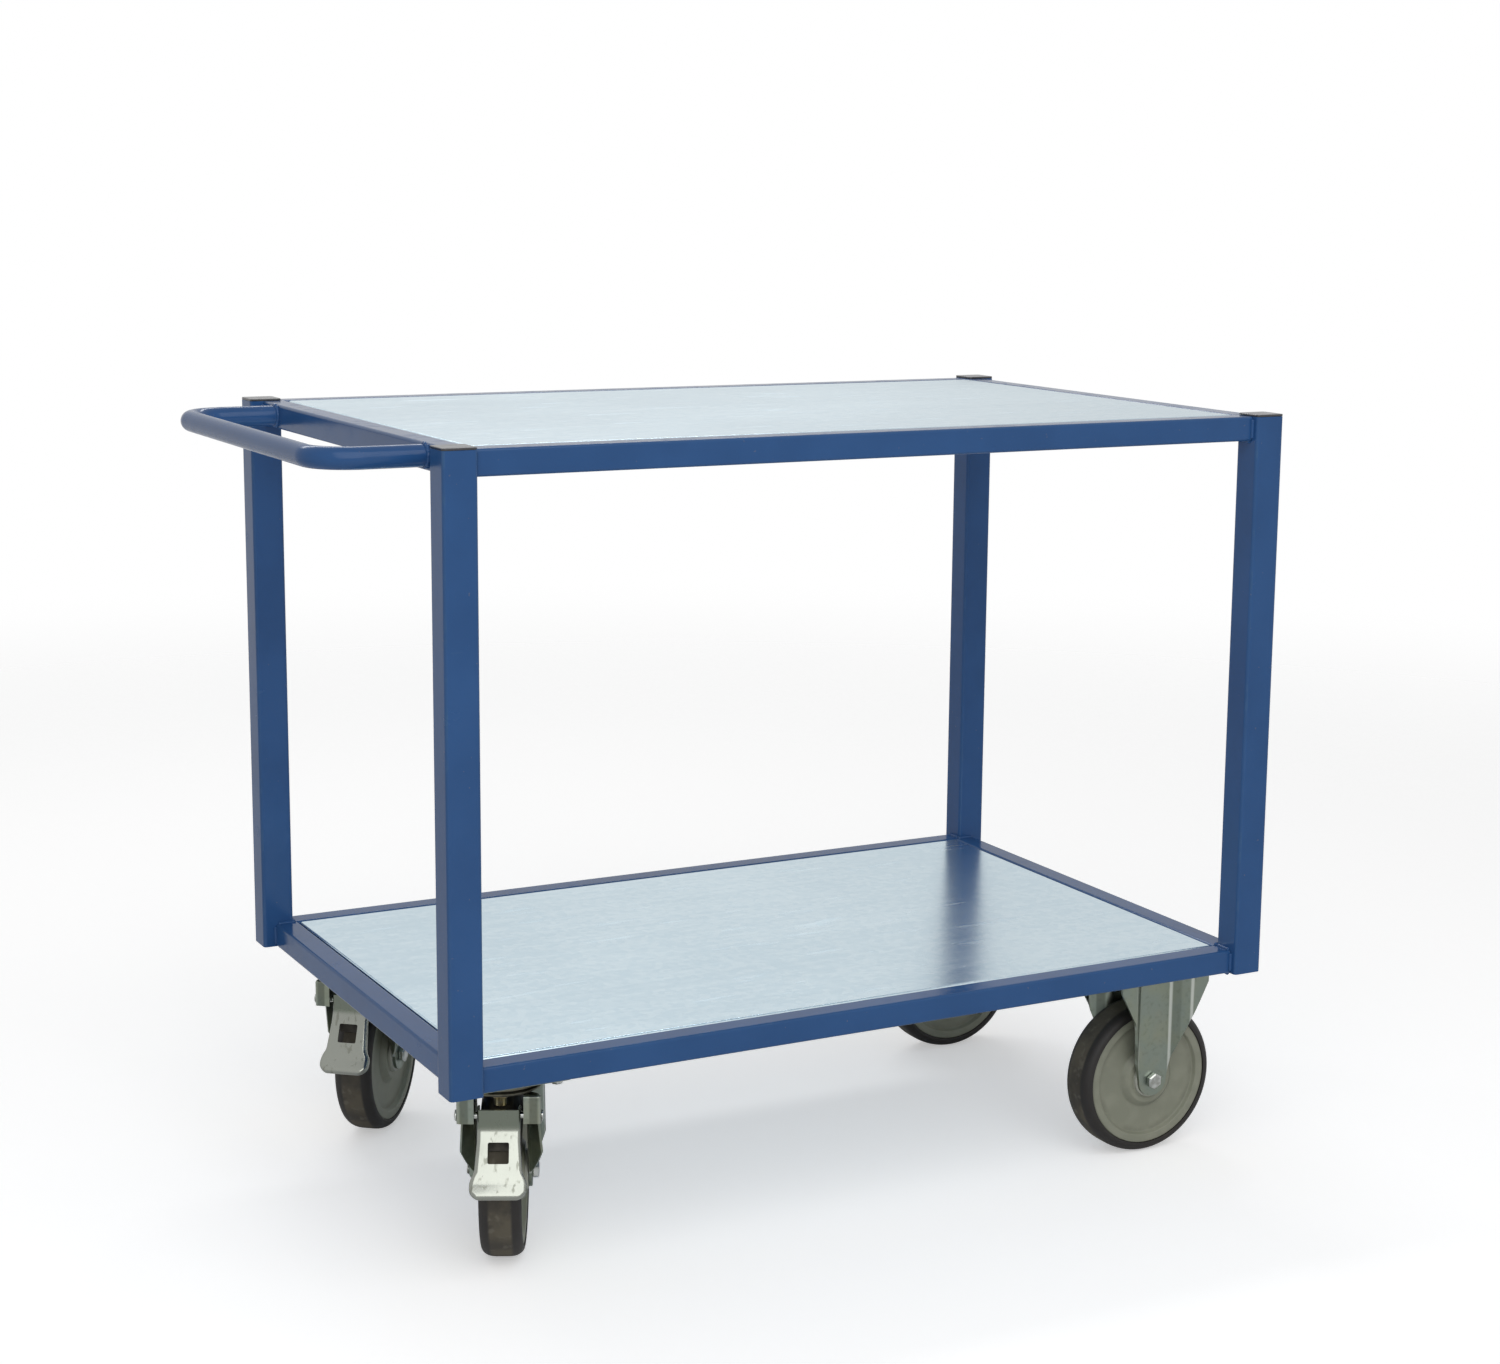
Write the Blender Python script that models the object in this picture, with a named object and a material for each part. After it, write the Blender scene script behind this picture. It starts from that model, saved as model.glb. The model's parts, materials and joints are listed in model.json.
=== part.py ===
"""Workshop trolley: a welded square-tube frame with two zinc-coated shelf sheets, a bent-tube push
handle, two swivel castors with brakes at the handle end and two fixed castors at the other end.

Metres, +Z up, floor at z = 0. +X points away from the handle, +Y to the left of someone pushing.
The origin is on the floor under the middle of the whole object as it stands.
"""
import math

import bmesh
import bpy
from mathutils import Vector

# Fits
CLEARANCE = 0.0003        # between pieces that touch
BOLT_PLAY = 0.0003        # round a bolt or pin in its hole, on the radius

# Frame
FRAME_LENGTH = 1.100      # over the posts, along X
FRAME_WIDTH = 0.700       # over the posts, along Y
SHELF_SPACING = 0.678     # lower shelf face to upper shelf face
POST_SIZE = 0.040
POST_WALL = 0.002
POST_CORNER = 0.004
RAIL_SIZE = 0.030
RAIL_WALL = 0.002
RAIL_CORNER = 0.003
SIDE_RAIL_RECESS = 0.010  # rail face behind the post face
END_RAIL_RECESS = 0.016
CAP_THICKNESS = 0.0025
CAP_STEM = 0.015

# Shelf sheets and what carries them
SHEET_THICKNESS = 0.0015
SHEET_LIP = 0.015         # folded-down edge, from the top face
SHEET_BEND = 0.003
SHEET_GAP = 0.002         # between the sheet and the rails
NOTCH_GAP = 0.003         # between a lip notch and the bar that passes it
CROSSBAR_WIDTH = 0.030
CROSSBAR_HEIGHT = 0.025
CROSSBAR_WALL = 0.002
CROSSBAR_CORNER = 0.003
UPPER_BAR_SPREAD = 0.360  # between the two bars of the upper shelf
BEAM_UNDER_RAIL = 0.014   # castor beam's outer edge past the end rail's inner face
BEAM_MARGIN = 0.0045      # its inner edge past the castor plates
BEAM_SHEET = 0.004
BEAM_BEND = 0.006
BEAM_DROP = 0.0135        # castor plate below the rails' underside
BEAM_CUT_BACK = 0.016     # web's ends behind the side rails

# Push handle
HANDLE_TUBE = 0.025
HANDLE_WALL = 0.002
HANDLE_REACH = 0.102      # posts' outer face to the grip's axis
HANDLE_SPREAD = 0.517     # between the axes of the two legs
HANDLE_BEND = 0.046       # bend radius on the axis
HANDLE_DROP = 0.0135      # axis below the upper shelf

# Wheels
WHEEL_DIAMETER = 0.200
TYRE_WIDTH = 0.050
TYRE_HEIGHT = 0.0177      # tread to the tyre's seat
SHOULDER_DROP = 0.008     # widest part of the tyre below the tread
SHOULDER_INSET = 0.0005
TREAD_EDGE_DROP = 0.0026  # rounded edge of the tread below its flat middle
TREAD_EDGE_INSET = 0.005
TREAD_FLAT_INSET = 0.015
RIM_LIP_HEIGHT = 0.0045   # lips above the tyre's seat
RIM_LIP_WIDTH = 0.005
RIM_LIP_INSET = 0.0015    # lip face inside the tyre's side
RIM_BAND = 0.010          # lip's outer edge to the web's step
WEB_RECESS = 0.006        # web face behind the lip face
HUB_PROUD = 0.004         # hub face outside the tyre's side
HUB_COLLAR = 0.025        # radius of the collar at the hub's ends
HUB_COLLAR_HEIGHT = 0.004
HUB_TOP = 0.032           # radii of the conical boss
HUB_BASE = 0.039
BUSH_DIAMETER = 0.020
AXLE_DIAMETER = 0.012
HEX_WIDTH = 0.019         # across the flats of axle head and nut
HEX_HEIGHT = 0.0075
AXLE_END = 0.003          # thread showing past the nut

# Castors
CASTOR_INSET_X = 0.104    # castor centre to the posts' outer faces
CASTOR_INSET_Y = 0.112
HEADROOM = 0.040          # wheel top to the castor plate's top
PLATE_LENGTH = 0.135
PLATE_WIDTH = 0.110
PLATE_THICKNESS = 0.004
PLATE_CORNER = 0.008
FORK_SHEET = 0.0035
FORK_BEND = 0.004
FIXED_STRIP = 0.0245      # half width of the flat strip that holds the axle
FIXED_STRIP_END = 0.021   # radius round the axle
FIXED_WALL_RUN = 0.018    # strip edge to crest, along X
FIXED_FLANGE_DROP = 0.010
FIXED_FLANGE_END = 0.084  # above the axle
FIXED_WALL_END = 0.025
FIXED_BELLY = 1.1         # 1 cuts the legs off straight, more leaves a rounder edge

# Swivel castors and their brakes
TRAIL = 0.058             # king bolt to axle
RIGHT_HEADING = 244.1     # degrees from +X to the pedal side, as the castors stand
LEFT_HEADING = 230.6
RACE_DIAMETER = 0.100
RACE_HEIGHT = 0.0117
RACE_TAPER = 0.004
KING_DIAMETER = 0.014
KING_HEX = 0.024
KING_HEAD = 0.010
KING_END = 0.011          # shank below the hexagon
SWIVEL_STRIP = 0.021
SWIVEL_STRIP_END = 0.020
SWIVEL_WALL_RUN = 0.013
SWIVEL_FLARE = 0.0150     # crest outside the strip, along the axle
SWIVEL_STRIP_TOP = -0.004 # strip centre at the head, towards the pedal from the king bolt
SWIVEL_FRONT = 0.038      # cheeks' front faces from the king bolt
SWIVEL_HEAD_FRONT = 0.020 # head's front edge between the cheeks
SWIVEL_EAR_END = 0.0845   # front flange's lower end on the crest, above the axle
SWIVEL_REAR = 0.048
SWIVEL_REAR_LEAN = 0.014  # how far the rear flange runs back over its drop
SWIVEL_FLANGE_DROP = 0.034
SWIVEL_FLANGE_END = 0.041
SWIVEL_WALL_END = 0.007
SWIVEL_BELLY = 1.5
CHEEK_INNER = 0.028       # inner edge of the head's front cheeks, from the middle
PIN_DIAMETER = 0.008
PIN_FORWARD = 0.028       # pedal pin from the king bolt
PIN_RISE = 0.097          # pedal pin above the axle
PIN_HEAD = 0.013
PIN_HEAD_HEIGHT = 0.0025
PEDAL_SHEET = 0.0025
PEDAL_FORWARD = 0.010     # lever plate in front of the pin
PEDAL_TOP = 0.009         # lever plate's top above the pin
PEDAL_KNEE = 0.013        # lever plate's lower end below the pin
PEDAL_LENGTH = 0.078      # knee to the foot's end
PEDAL_SLOPE = 65.0        # degrees below the horizontal
FOOT_KICK = 16.0          # degrees that the foot turns out from the slope
PEDAL_WIDTH = 0.049       # lever plate
PEDAL_WAIST = 0.054
PEDAL_FOOT = 0.065
FLARE_START = 0.048       # down the slope from the knee
FLARE_END = 0.058
FOOT_CORNER = 0.008
PEDAL_EDGE = 0.007        # depth of the turned-back edges
PEDAL_BEND = 0.0045
EAR_REACH = 0.008         # ears past the pin's axis
WINDOW = 0.024
WINDOW_DOWN = 0.027       # window's middle below the knee, along the slope
SHOE_GAP = 0.0012         # brake shoe to tread
SHOE_THICKNESS = 0.004
SHOE_WIDTH = 0.034
SHOE_START = 32.0         # degrees above the horizontal, seen from the axle
SHOE_END = 44.0
SHOE_STEM = 0.008
SHOE_EYE_GAP = 0.001      # shoe's eye to the lever plate

# Facets
WHEEL_SIDES = 28
RACE_SIDES = 20
ROUND_SIDES = 12
BEND_STEPS = 2
CUT_STEPS = 3
ARC_STEPS = 8

# Heights and places that follow
WHEEL_RADIUS = WHEEL_DIAMETER / 2
CASTOR_HEIGHT = WHEEL_DIAMETER + HEADROOM
FRAME_BOTTOM = CASTOR_HEIGHT + BEAM_DROP
LOWER_SHELF = FRAME_BOTTOM + RAIL_SIZE
UPPER_SHELF = LOWER_SHELF + SHELF_SPACING
SHELVES = {"lower": LOWER_SHELF, "upper": UPPER_SHELF}
HALF_LENGTH = FRAME_LENGTH / 2
HALF_WIDTH = FRAME_WIDTH / 2
INNER_LENGTH = HALF_LENGTH - END_RAIL_RECESS - RAIL_SIZE
INNER_WIDTH = HALF_WIDTH - SIDE_RAIL_RECESS - RAIL_SIZE
CASTOR_X = HALF_LENGTH - CASTOR_INSET_X
CASTOR_Y = HALF_WIDTH - CASTOR_INSET_Y
HUB_HALF = TYRE_WIDTH / 2 + HUB_PROUD
STRIP_FACE = HUB_HALF + CLEARANCE + FORK_SHEET
SWIVEL_CREST = STRIP_FACE + SWIVEL_FLARE
FORK_TOP = CASTOR_HEIGHT - PLATE_THICKNESS - RACE_HEIGHT - 2 * CLEARANCE

ENDS = {"front": 1, "rear": -1}
SIDES = {"left": 1, "right": -1}
HEADINGS = {"left": LEFT_HEADING, "right": RIGHT_HEADING}


def material(name, colour, roughness, metallic):
    """A plain finish for one kind of surface."""
    finish = bpy.data.materials.new(name)
    finish.use_nodes = True
    shader = finish.node_tree.nodes["Principled BSDF"]
    shader.inputs["Base Color"].default_value = (*colour, 1.0)
    shader.inputs["Roughness"].default_value = roughness
    shader.inputs["Metallic"].default_value = metallic
    return finish


def place(name, data, finish, parent, location=(0, 0, 0)):
    """Add one sub-part, smooth where it is round."""
    piece = bpy.data.objects.new(name, data)
    bpy.context.scene.collection.objects.link(piece)
    data.materials.append(finish)
    piece.parent = parent
    piece.location = location
    if piece.type == "MESH":
        data.shade_smooth()
        data.set_sharp_from_angle(angle=math.radians(35))
    return piece


def mesh_of(bm, name):
    mesh = bpy.data.meshes.new(name)
    bm.to_mesh(mesh)
    bm.free()
    return mesh


def joint_empty(name, location, parent=None, turn=0.0):
    """An empty on a joint's axis, or at the middle of the frame."""
    empty = bpy.data.objects.new(name, None)
    bpy.context.scene.collection.objects.link(empty)
    empty.parent = parent
    empty.location = location
    empty.rotation_euler = (0, 0, math.radians(turn))
    return empty


def give_wall(piece, thickness):
    """Thicken a sheet inwards from its outer face."""
    wall = piece.modifiers.new("wall", "SOLIDIFY")
    wall.thickness = thickness
    wall.offset = -1
    wall.use_even_offset = True


def cut(piece, cutter):
    """Cut one piece with another shape that is not part of the object."""
    cutter.hide_render = True
    cutter.display_type = "WIRE"
    difference = piece.modifiers.new("cut", "BOOLEAN")
    difference.operation = "DIFFERENCE"
    difference.object = cutter


def folded_box(size, open_sides, bend):
    """A box of sheet without its open sides, with every fold rounded."""
    bm = bmesh.new()
    bmesh.ops.create_cube(bm, size=1.0)
    bmesh.ops.scale(bm, vec=size, verts=bm.verts)
    bm.normal_update()
    missing = [face for face in bm.faces if any(face.normal.dot(Vector(side)) > 0.9 for side in open_sides)]
    bmesh.ops.delete(bm, geom=missing, context="FACES")
    folds = [edge for edge in bm.edges if len(edge.link_faces) == 2]
    bmesh.ops.bevel(bm, geom=folds, offset=bend, segments=BEND_STEPS, profile=0.5, affect="EDGES")
    return bm


def square_tube(name, size, along, wall, corner, finish, parent, location):
    """A square or rectangular tube, open at both ends of one axis."""
    ends = [tuple(sign if axis == along else 0 for axis in range(3)) for sign in (1, -1)]
    tube = place(name, mesh_of(folded_box(size, ends, corner), name), finish, parent, location)
    give_wall(tube, wall)
    return tube


def plain_box(size, corner):
    """A solid block with its upright edges rounded."""
    bm = bmesh.new()
    bmesh.ops.create_cube(bm, size=1.0)
    bmesh.ops.scale(bm, vec=size, verts=bm.verts)
    upright = [edge for edge in bm.edges if abs(edge.verts[0].co.z - edge.verts[1].co.z) > size[2] / 2]
    bmesh.ops.bevel(bm, geom=upright, offset=corner, segments=BEND_STEPS, profile=0.5, affect="EDGES")
    return bm


def ring_point(axis, radius, along, angle):
    """A point round the Y or Z axis. Angle 0 of a wheel points at the floor."""
    across = radius * math.sin(angle)
    down = -radius * math.cos(angle)
    return (across, along, down) if axis == "Y" else (across, down, along)


def hexagon_radius(flats, angle):
    """Distance to the edge of a hexagon with the given width over its flats."""
    sector = math.radians(60)
    return flats / 2 / math.cos((angle + sector / 2) % sector - sector / 2)


def turned(sections, axis, sides, bored):
    """A turned solid from (radius, along) sections. A negative radius stands for a hexagon's half width.
    A bored solid closes on its first section, a plain one has flat ends."""
    bm = bmesh.new()
    angles = [2 * math.pi * step / sides for step in range(sides)]
    rings = []
    for radius, along in sections:
        reach = [radius if radius > 0 else hexagon_radius(-2 * radius, angle) for angle in angles]
        rings.append([bm.verts.new(ring_point(axis, r, along, angle)) for r, angle in zip(reach, angles)])
    pairs = list(zip(rings, rings[1:]))
    if bored:
        pairs.append((rings[-1], rings[0]))
    for one, other in pairs:
        for step in range(sides):
            after = (step + 1) % sides
            bm.faces.new((one[step], one[after], other[after], other[step]))
    if not bored:
        bm.faces.new(rings[0])
        bm.faces.new(rings[-1])
    bmesh.ops.recalc_face_normals(bm, faces=bm.faces)
    return bm


def drill(piece, axis, radius, length, parent, location):
    """Drill a round hole along Y or Z."""
    name = piece.name + "_drill"
    sections = [(radius, -length / 2), (radius, length / 2)]
    drilled = bpy.data.objects.new(name, mesh_of(turned(sections, axis, ROUND_SIDES, False), name))
    bpy.context.scene.collection.objects.link(drilled)
    drilled.parent = parent
    drilled.location = location
    cut(piece, drilled)


def make_posts(frame, paint, plastic):
    """Square-tube posts, each closed at the top by a moulded cap with a stem."""
    height = UPPER_SHELF - FRAME_BOTTOM
    stem_width = POST_SIZE - 2 * POST_WALL - 2 * CLEARANCE
    for end, along in ENDS.items():
        for side, across in SIDES.items():
            x = along * (HALF_LENGTH - POST_SIZE / 2)
            y = across * (HALF_WIDTH - POST_SIZE / 2)
            middle = (x, y, FRAME_BOTTOM + height / 2)
            size = (POST_SIZE, POST_SIZE, height)
            square_tube(f"post_{end}_{side}", size, 2, POST_WALL, POST_CORNER, paint, frame, middle)
            bm = plain_box((POST_SIZE, POST_SIZE, CAP_THICKNESS), POST_CORNER)
            under = min(bm.faces, key=lambda face: face.calc_center_median().z)
            inset = (POST_SIZE - stem_width) / 2
            bmesh.ops.inset_region(bm, faces=[under], thickness=inset, use_even_offset=True)
            stem = bmesh.ops.extrude_discrete_faces(bm, faces=[under])["faces"][0]
            bmesh.ops.translate(bm, vec=(0, 0, -CAP_STEM), verts=stem.verts)
            name = f"post_cap_{end}_{side}"
            top = (x, y, UPPER_SHELF + CLEARANCE + CAP_THICKNESS / 2)
            place(name, mesh_of(bm, name), plastic, frame, top)


def make_rails(frame, paint):
    """Rails welded between the posts, level with the shelf faces."""
    side_length = FRAME_LENGTH - 2 * POST_SIZE - 2 * CLEARANCE
    end_length = FRAME_WIDTH - 2 * POST_SIZE - 2 * CLEARANCE
    for shelf, level in SHELVES.items():
        z = level - RAIL_SIZE / 2
        for side, across in SIDES.items():
            middle = (0, across * (INNER_WIDTH + RAIL_SIZE / 2), z)
            size = (side_length, RAIL_SIZE, RAIL_SIZE)
            square_tube(f"{shelf}_side_rail_{side}", size, 0, RAIL_WALL, RAIL_CORNER, paint, frame, middle)
        for end, along in ENDS.items():
            middle = (along * (INNER_LENGTH + RAIL_SIZE / 2), 0, z)
            size = (RAIL_SIZE, end_length, RAIL_SIZE)
            square_tube(f"{shelf}_end_rail_{end}", size, 1, RAIL_WALL, RAIL_CORNER, paint, frame, middle)


def make_sheet(shelf, level, bars, frame, zinc):
    """A shelf sheet with folded-down edges, notched where a bar passes under it."""
    size = (2 * (INNER_LENGTH - SHEET_GAP), 2 * (INNER_WIDTH - SHEET_GAP), SHEET_LIP)
    name = f"{shelf}_shelf_sheet"
    bm = folded_box(size, [(0, 0, -1)], SHEET_BEND)
    sheet = place(name, mesh_of(bm, name), zinc, frame, (0, 0, level - SHEET_LIP / 2))
    give_wall(sheet, SHEET_THICKNESS)
    for number, (x, width) in enumerate(bars):
        notch_name = f"{name}_notch_{number}"
        notch_size = (width + 2 * NOTCH_GAP, FRAME_WIDTH, SHEET_LIP)
        notch = bpy.data.objects.new(notch_name, mesh_of(plain_box(notch_size, NOTCH_GAP / 2), notch_name))
        bpy.context.scene.collection.objects.link(notch)
        notch.parent = frame
        notch.location = (x, 0, level - SHEET_THICKNESS - CLEARANCE - SHEET_LIP / 2)
        cut(sheet, notch)


def make_crossbar(name, x, level, frame, paint):
    """A tube between the side rails that carries a sheet."""
    length = 2 * (INNER_WIDTH - CLEARANCE)
    size = (CROSSBAR_WIDTH, length, CROSSBAR_HEIGHT)
    z = level - SHEET_THICKNESS - CLEARANCE - CROSSBAR_HEIGHT / 2
    square_tube(name, size, 1, CROSSBAR_WALL, CROSSBAR_CORNER, paint, frame, (x, 0, z))


def make_beam(end, along, frame, paint):
    """A folded beam across the frame that the castors of one end are bolted under. Its outer edge
    stands under the end rail, its inner edge carries the lower sheet."""
    outer = INNER_LENGTH + BEAM_UNDER_RAIL
    inner = CASTOR_X - PLATE_LENGTH / 2 - BEAM_MARGIN
    web = CASTOR_HEIGHT + CLEARANCE
    section = [(outer, FRAME_BOTTOM - CLEARANCE), (outer, web), (inner, web)]
    section.append((inner, LOWER_SHELF - SHEET_THICKNESS - CLEARANCE))
    half = INNER_WIDTH - CLEARANCE
    bm = bmesh.new()
    points = [bm.verts.new((along * x, -along * half, z)) for x, z in section]
    edges = [bm.edges.new(pair) for pair in zip(points, points[1:])]
    pulled = bmesh.ops.extrude_edge_only(bm, edges=edges)["geom"]
    far = [item for item in pulled if isinstance(item, bmesh.types.BMVert)]
    bmesh.ops.translate(bm, vec=(0, along * 2 * half, 0), verts=far)
    bm.normal_update()
    folds = [edge for edge in bm.edges if len(edge.link_faces) == 2]
    bmesh.ops.bevel(bm, geom=folds, offset=BEAM_BEND, segments=BEND_STEPS, profile=0.5, affect="EDGES")
    bm.normal_update()
    lowest = min(bm.faces, key=lambda face: face.calc_center_median().z)
    if lowest.normal.z > 0:
        bmesh.ops.reverse_faces(bm, faces=bm.faces)
    name = f"castor_beam_{end}"
    beam = place(name, mesh_of(bm, name), paint, frame)
    give_wall(beam, BEAM_SHEET)
    for side in SIDES.values():
        block_name = f"{name}_end_{side}"
        block_size = (2 * (outer - inner), 2 * BEAM_CUT_BACK, 2 * BEAM_DROP)
        block = bpy.data.objects.new(block_name, mesh_of(plain_box(block_size, BEAM_SHEET), block_name))
        bpy.context.scene.collection.objects.link(block)
        block.parent = frame
        block.location = (along * (outer + inner) / 2, side * half, FRAME_BOTTOM - BEAM_DROP)
        cut(beam, block)
    return inner


def make_handle(frame, paint):
    """A round tube bent to a U, its two open ends against the upper end rail."""
    grip = -(HALF_LENGTH + HANDLE_REACH)
    start = -(HALF_LENGTH - END_RAIL_RECESS) - CLEARANCE
    half = HANDLE_SPREAD / 2
    z = UPPER_SHELF - HANDLE_DROP
    path = [(start, -half)]
    for side in (-1, 1):
        centre_x = grip + HANDLE_BEND
        centre_y = side * (half - HANDLE_BEND)
        for step in range(ARC_STEPS + 1):
            share = step / ARC_STEPS if side < 0 else 1 - step / ARC_STEPS
            angle = math.pi / 2 * share
            x = centre_x - HANDLE_BEND * math.sin(angle)
            y = centre_y + side * HANDLE_BEND * math.cos(angle)
            path.append((x, y))
    path.append((start, half))
    curve = bpy.data.curves.new("push_handle", "CURVE")
    curve.dimensions = "3D"
    curve.bevel_depth = HANDLE_TUBE / 2
    curve.bevel_resolution = 2
    spline = curve.splines.new("POLY")
    spline.points.add(len(path) - 1)
    for point, (x, y) in zip(spline.points, path):
        point.co = (x, y, z, 1)
    handle = place("push_handle", curve, paint, frame)
    give_wall(handle, HANDLE_WALL)


def make_wheel(prefix, spin, plastic, rubber):
    """A moulded rim with a conical hub, and the tyre on it, round the axle's Y axis."""
    seat = WHEEL_RADIUS - TYRE_HEIGHT
    lip = seat + RIM_LIP_HEIGHT
    lip_face = TYRE_WIDTH / 2 - RIM_LIP_INSET
    web_face = lip_face - WEB_RECESS
    bore = BUSH_DIAMETER / 2 + BOLT_PLAY
    hub_face = HUB_HALF - CLEARANCE
    half_rim = [(seat, lip_face - RIM_LIP_WIDTH), (lip, lip_face - RIM_LIP_WIDTH), (lip, lip_face)]
    half_rim += [(lip - RIM_BAND, lip_face), (lip - RIM_BAND - WEB_RECESS / 2, web_face)]
    half_rim.append((HUB_BASE, web_face))
    half_rim += [(HUB_TOP, hub_face - HUB_COLLAR_HEIGHT), (HUB_COLLAR, hub_face - HUB_COLLAR_HEIGHT)]
    half_rim += [(HUB_COLLAR, hub_face), (bore, hub_face)]
    rim = half_rim + [(radius, -along) for radius, along in reversed(half_rim)]
    name = f"{prefix}_rim"
    place(name, mesh_of(turned(rim, "Y", WHEEL_SIDES, True), name), plastic, spin)
    inner = seat + CLEARANCE
    channel = lip_face - RIM_LIP_WIDTH - CLEARANCE
    over_lip = lip + CLEARANCE
    side = TYRE_WIDTH / 2
    half_tyre = [(inner, channel), (over_lip, channel), (over_lip, side - SHOULDER_INSET)]
    half_tyre.append((WHEEL_RADIUS - SHOULDER_DROP, side))
    half_tyre.append((WHEEL_RADIUS - TREAD_EDGE_DROP, side - TREAD_EDGE_INSET))
    half_tyre.append((WHEEL_RADIUS, side - TREAD_FLAT_INSET))
    tyre = half_tyre + [(radius, -along) for radius, along in reversed(half_tyre)]
    name = f"{prefix}_tyre"
    place(name, mesh_of(turned(tyre, "Y", WHEEL_SIDES, True), name), rubber, spin)


def make_axle(prefix, outward, carrier, location, zinc):
    """Bolt, nut and bush that hold a wheel in its fork. The head is on the outward side."""
    shank = AXLE_DIAMETER / 2
    seat = STRIP_FACE + CLEARANCE
    flats = -HEX_WIDTH / 2
    sections = [(flats, seat + HEX_HEIGHT), (flats, seat), (shank, seat)]
    sections.append((shank, -seat - HEX_HEIGHT - AXLE_END))
    bolt = [(radius, outward * along) for radius, along in sections]
    name = f"{prefix}_axle_bolt"
    place(name, mesh_of(turned(bolt, "Y", ROUND_SIDES, False), name), zinc, carrier, location)
    hole = shank + BOLT_PLAY
    sections = [(flats, -seat), (flats, -seat - HEX_HEIGHT), (hole, -seat - HEX_HEIGHT), (hole, -seat)]
    nut = [(radius, outward * along) for radius, along in sections]
    name = f"{prefix}_axle_nut"
    place(name, mesh_of(turned(nut, "Y", ROUND_SIDES, True), name), zinc, carrier, location)
    wall = BUSH_DIAMETER / 2
    bush = [(wall, HUB_HALF), (wall, -HUB_HALF), (hole, -HUB_HALF), (hole, HUB_HALF)]
    name = f"{prefix}_hub_bush"
    place(name, mesh_of(turned(bush, "Y", ROUND_SIDES, True), name), zinc, carrier, location)


def make_fork(name, shape, carrier, zinc):
    """A fork pressed from one sheet. Each leg has a flat strip for the axle, set in between two walls
    that run out to flanges, and all of it is cut off in a slanting curve towards the axle. A swivel
    fork's front flanges are short ears for the pedal's pin, and turn in to two cheeks."""
    bm = bmesh.new()
    top = shape["top"]
    axle_x = shape["axle_x"]
    strip = shape["strip"]
    crest = strip + shape["wall_run"]

    def strip_centre(z):
        share = (z - WHEEL_RADIUS) / (top - WHEEL_RADIUS)
        return axle_x + (shape["strip_top"] - axle_x) * share

    rims = {}
    for side in (1, -1):
        face = side * STRIP_FACE
        out = side * shape["crest_face"]
        rim = []
        strip_edges = []
        for way, (flange_top, flange_low) in ((-1, shape["rear"]), (1, shape["front"])):
            flange_end = WHEEL_RADIUS + shape["flange_end"]
            wall_end = WHEEL_RADIUS + shape["wall_end"]
            corner = bm.verts.new((flange_top, out, top))
            low = bm.verts.new((flange_low, out, top - shape["flange_drop"]))
            crest_top = bm.verts.new((strip_centre(top) + way * crest, out, top))
            crest_low = bm.verts.new((strip_centre(flange_end) + way * crest, out, flange_end))
            strip_top = bm.verts.new((strip_centre(top) + way * strip, face, top))
            strip_low = bm.verts.new((strip_centre(wall_end) + way * strip, face, wall_end))
            wall_cut = []
            flange_cut = []
            for step in range(1, CUT_STEPS):
                share = step / CUT_STEPS
                rise = share ** shape["belly"]
                z = wall_end + (flange_end - wall_end) * rise
                x = strip_centre(z) + way * (strip + shape["wall_run"] * share)
                wall_cut.append(bm.verts.new((x, face + (out - face) * share, z)))
                z = flange_end + (top - shape["flange_drop"] - flange_end) * rise
                x = crest_low.co.x + (flange_low - crest_low.co.x) * share
                flange_cut.append(bm.verts.new((x, out, z)))
            flange = [corner, crest_top, crest_low, *flange_cut, low]
            wall = [crest_top, strip_top, strip_low, *wall_cut, crest_low]
            head_edge = [corner, crest_top, strip_top]
            if way > 0 and shape["cheek"]:
                ear_z = WHEEL_RADIUS + shape["ear_end"]
                ear_low = bm.verts.new((strip_centre(ear_z) + crest, out, ear_z))
                for unused in flange_cut:
                    bm.verts.remove(unused)
                flange = [corner, crest_top, ear_low, low]
                wall.append(ear_low)
                cheek = side * shape["cheek"]
                cheek_top = bm.verts.new((flange_top, cheek, top))
                cheek_low = bm.verts.new((flange_low, cheek, top - shape["flange_drop"]))
                bm.faces.new((corner, cheek_top, cheek_low, low))
                head_edge = [bm.verts.new((shape["head_front"], cheek, top)), cheek_top, *head_edge]
            bm.faces.new(flange)
            bm.faces.new(wall)
            rim.append(head_edge)
            strip_edges.append((strip_top, strip_low))
        arc = []
        for step in range(ARC_STEPS + 1):
            angle = math.pi * (1 + step / ARC_STEPS)
            x = axle_x + shape["strip_end"] * math.cos(angle)
            z = WHEEL_RADIUS + shape["strip_end"] * math.sin(angle)
            arc.append(bm.verts.new((x, face, z)))
        (rear_top, rear_low), (front_top, front_low) = strip_edges
        bm.faces.new([rear_top, rear_low, *arc, front_low, front_top])
        rims[side] = [*rim[0], *reversed(rim[1])]
    head = bm.faces.new(rims[1] + rims[-1][::-1])
    bmesh.ops.recalc_face_normals(bm, faces=bm.faces)
    if head.normal.z < 0:
        bmesh.ops.reverse_faces(bm, faces=bm.faces)
    folds = [edge for edge in bm.edges if len(edge.link_faces) == 2]
    bmesh.ops.bevel(bm, geom=folds, offset=FORK_BEND, segments=BEND_STEPS, profile=0.5, affect="EDGES")
    fork = place(name, mesh_of(bm, name), zinc, carrier)
    give_wall(fork, FORK_SHEET)
    drill_length = 2 * shape["crest_face"] + PLATE_WIDTH
    drill(fork, "Y", AXLE_DIAMETER / 2 + BOLT_PLAY, drill_length, carrier, (axle_x, 0, WHEEL_RADIUS))
    return fork


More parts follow.
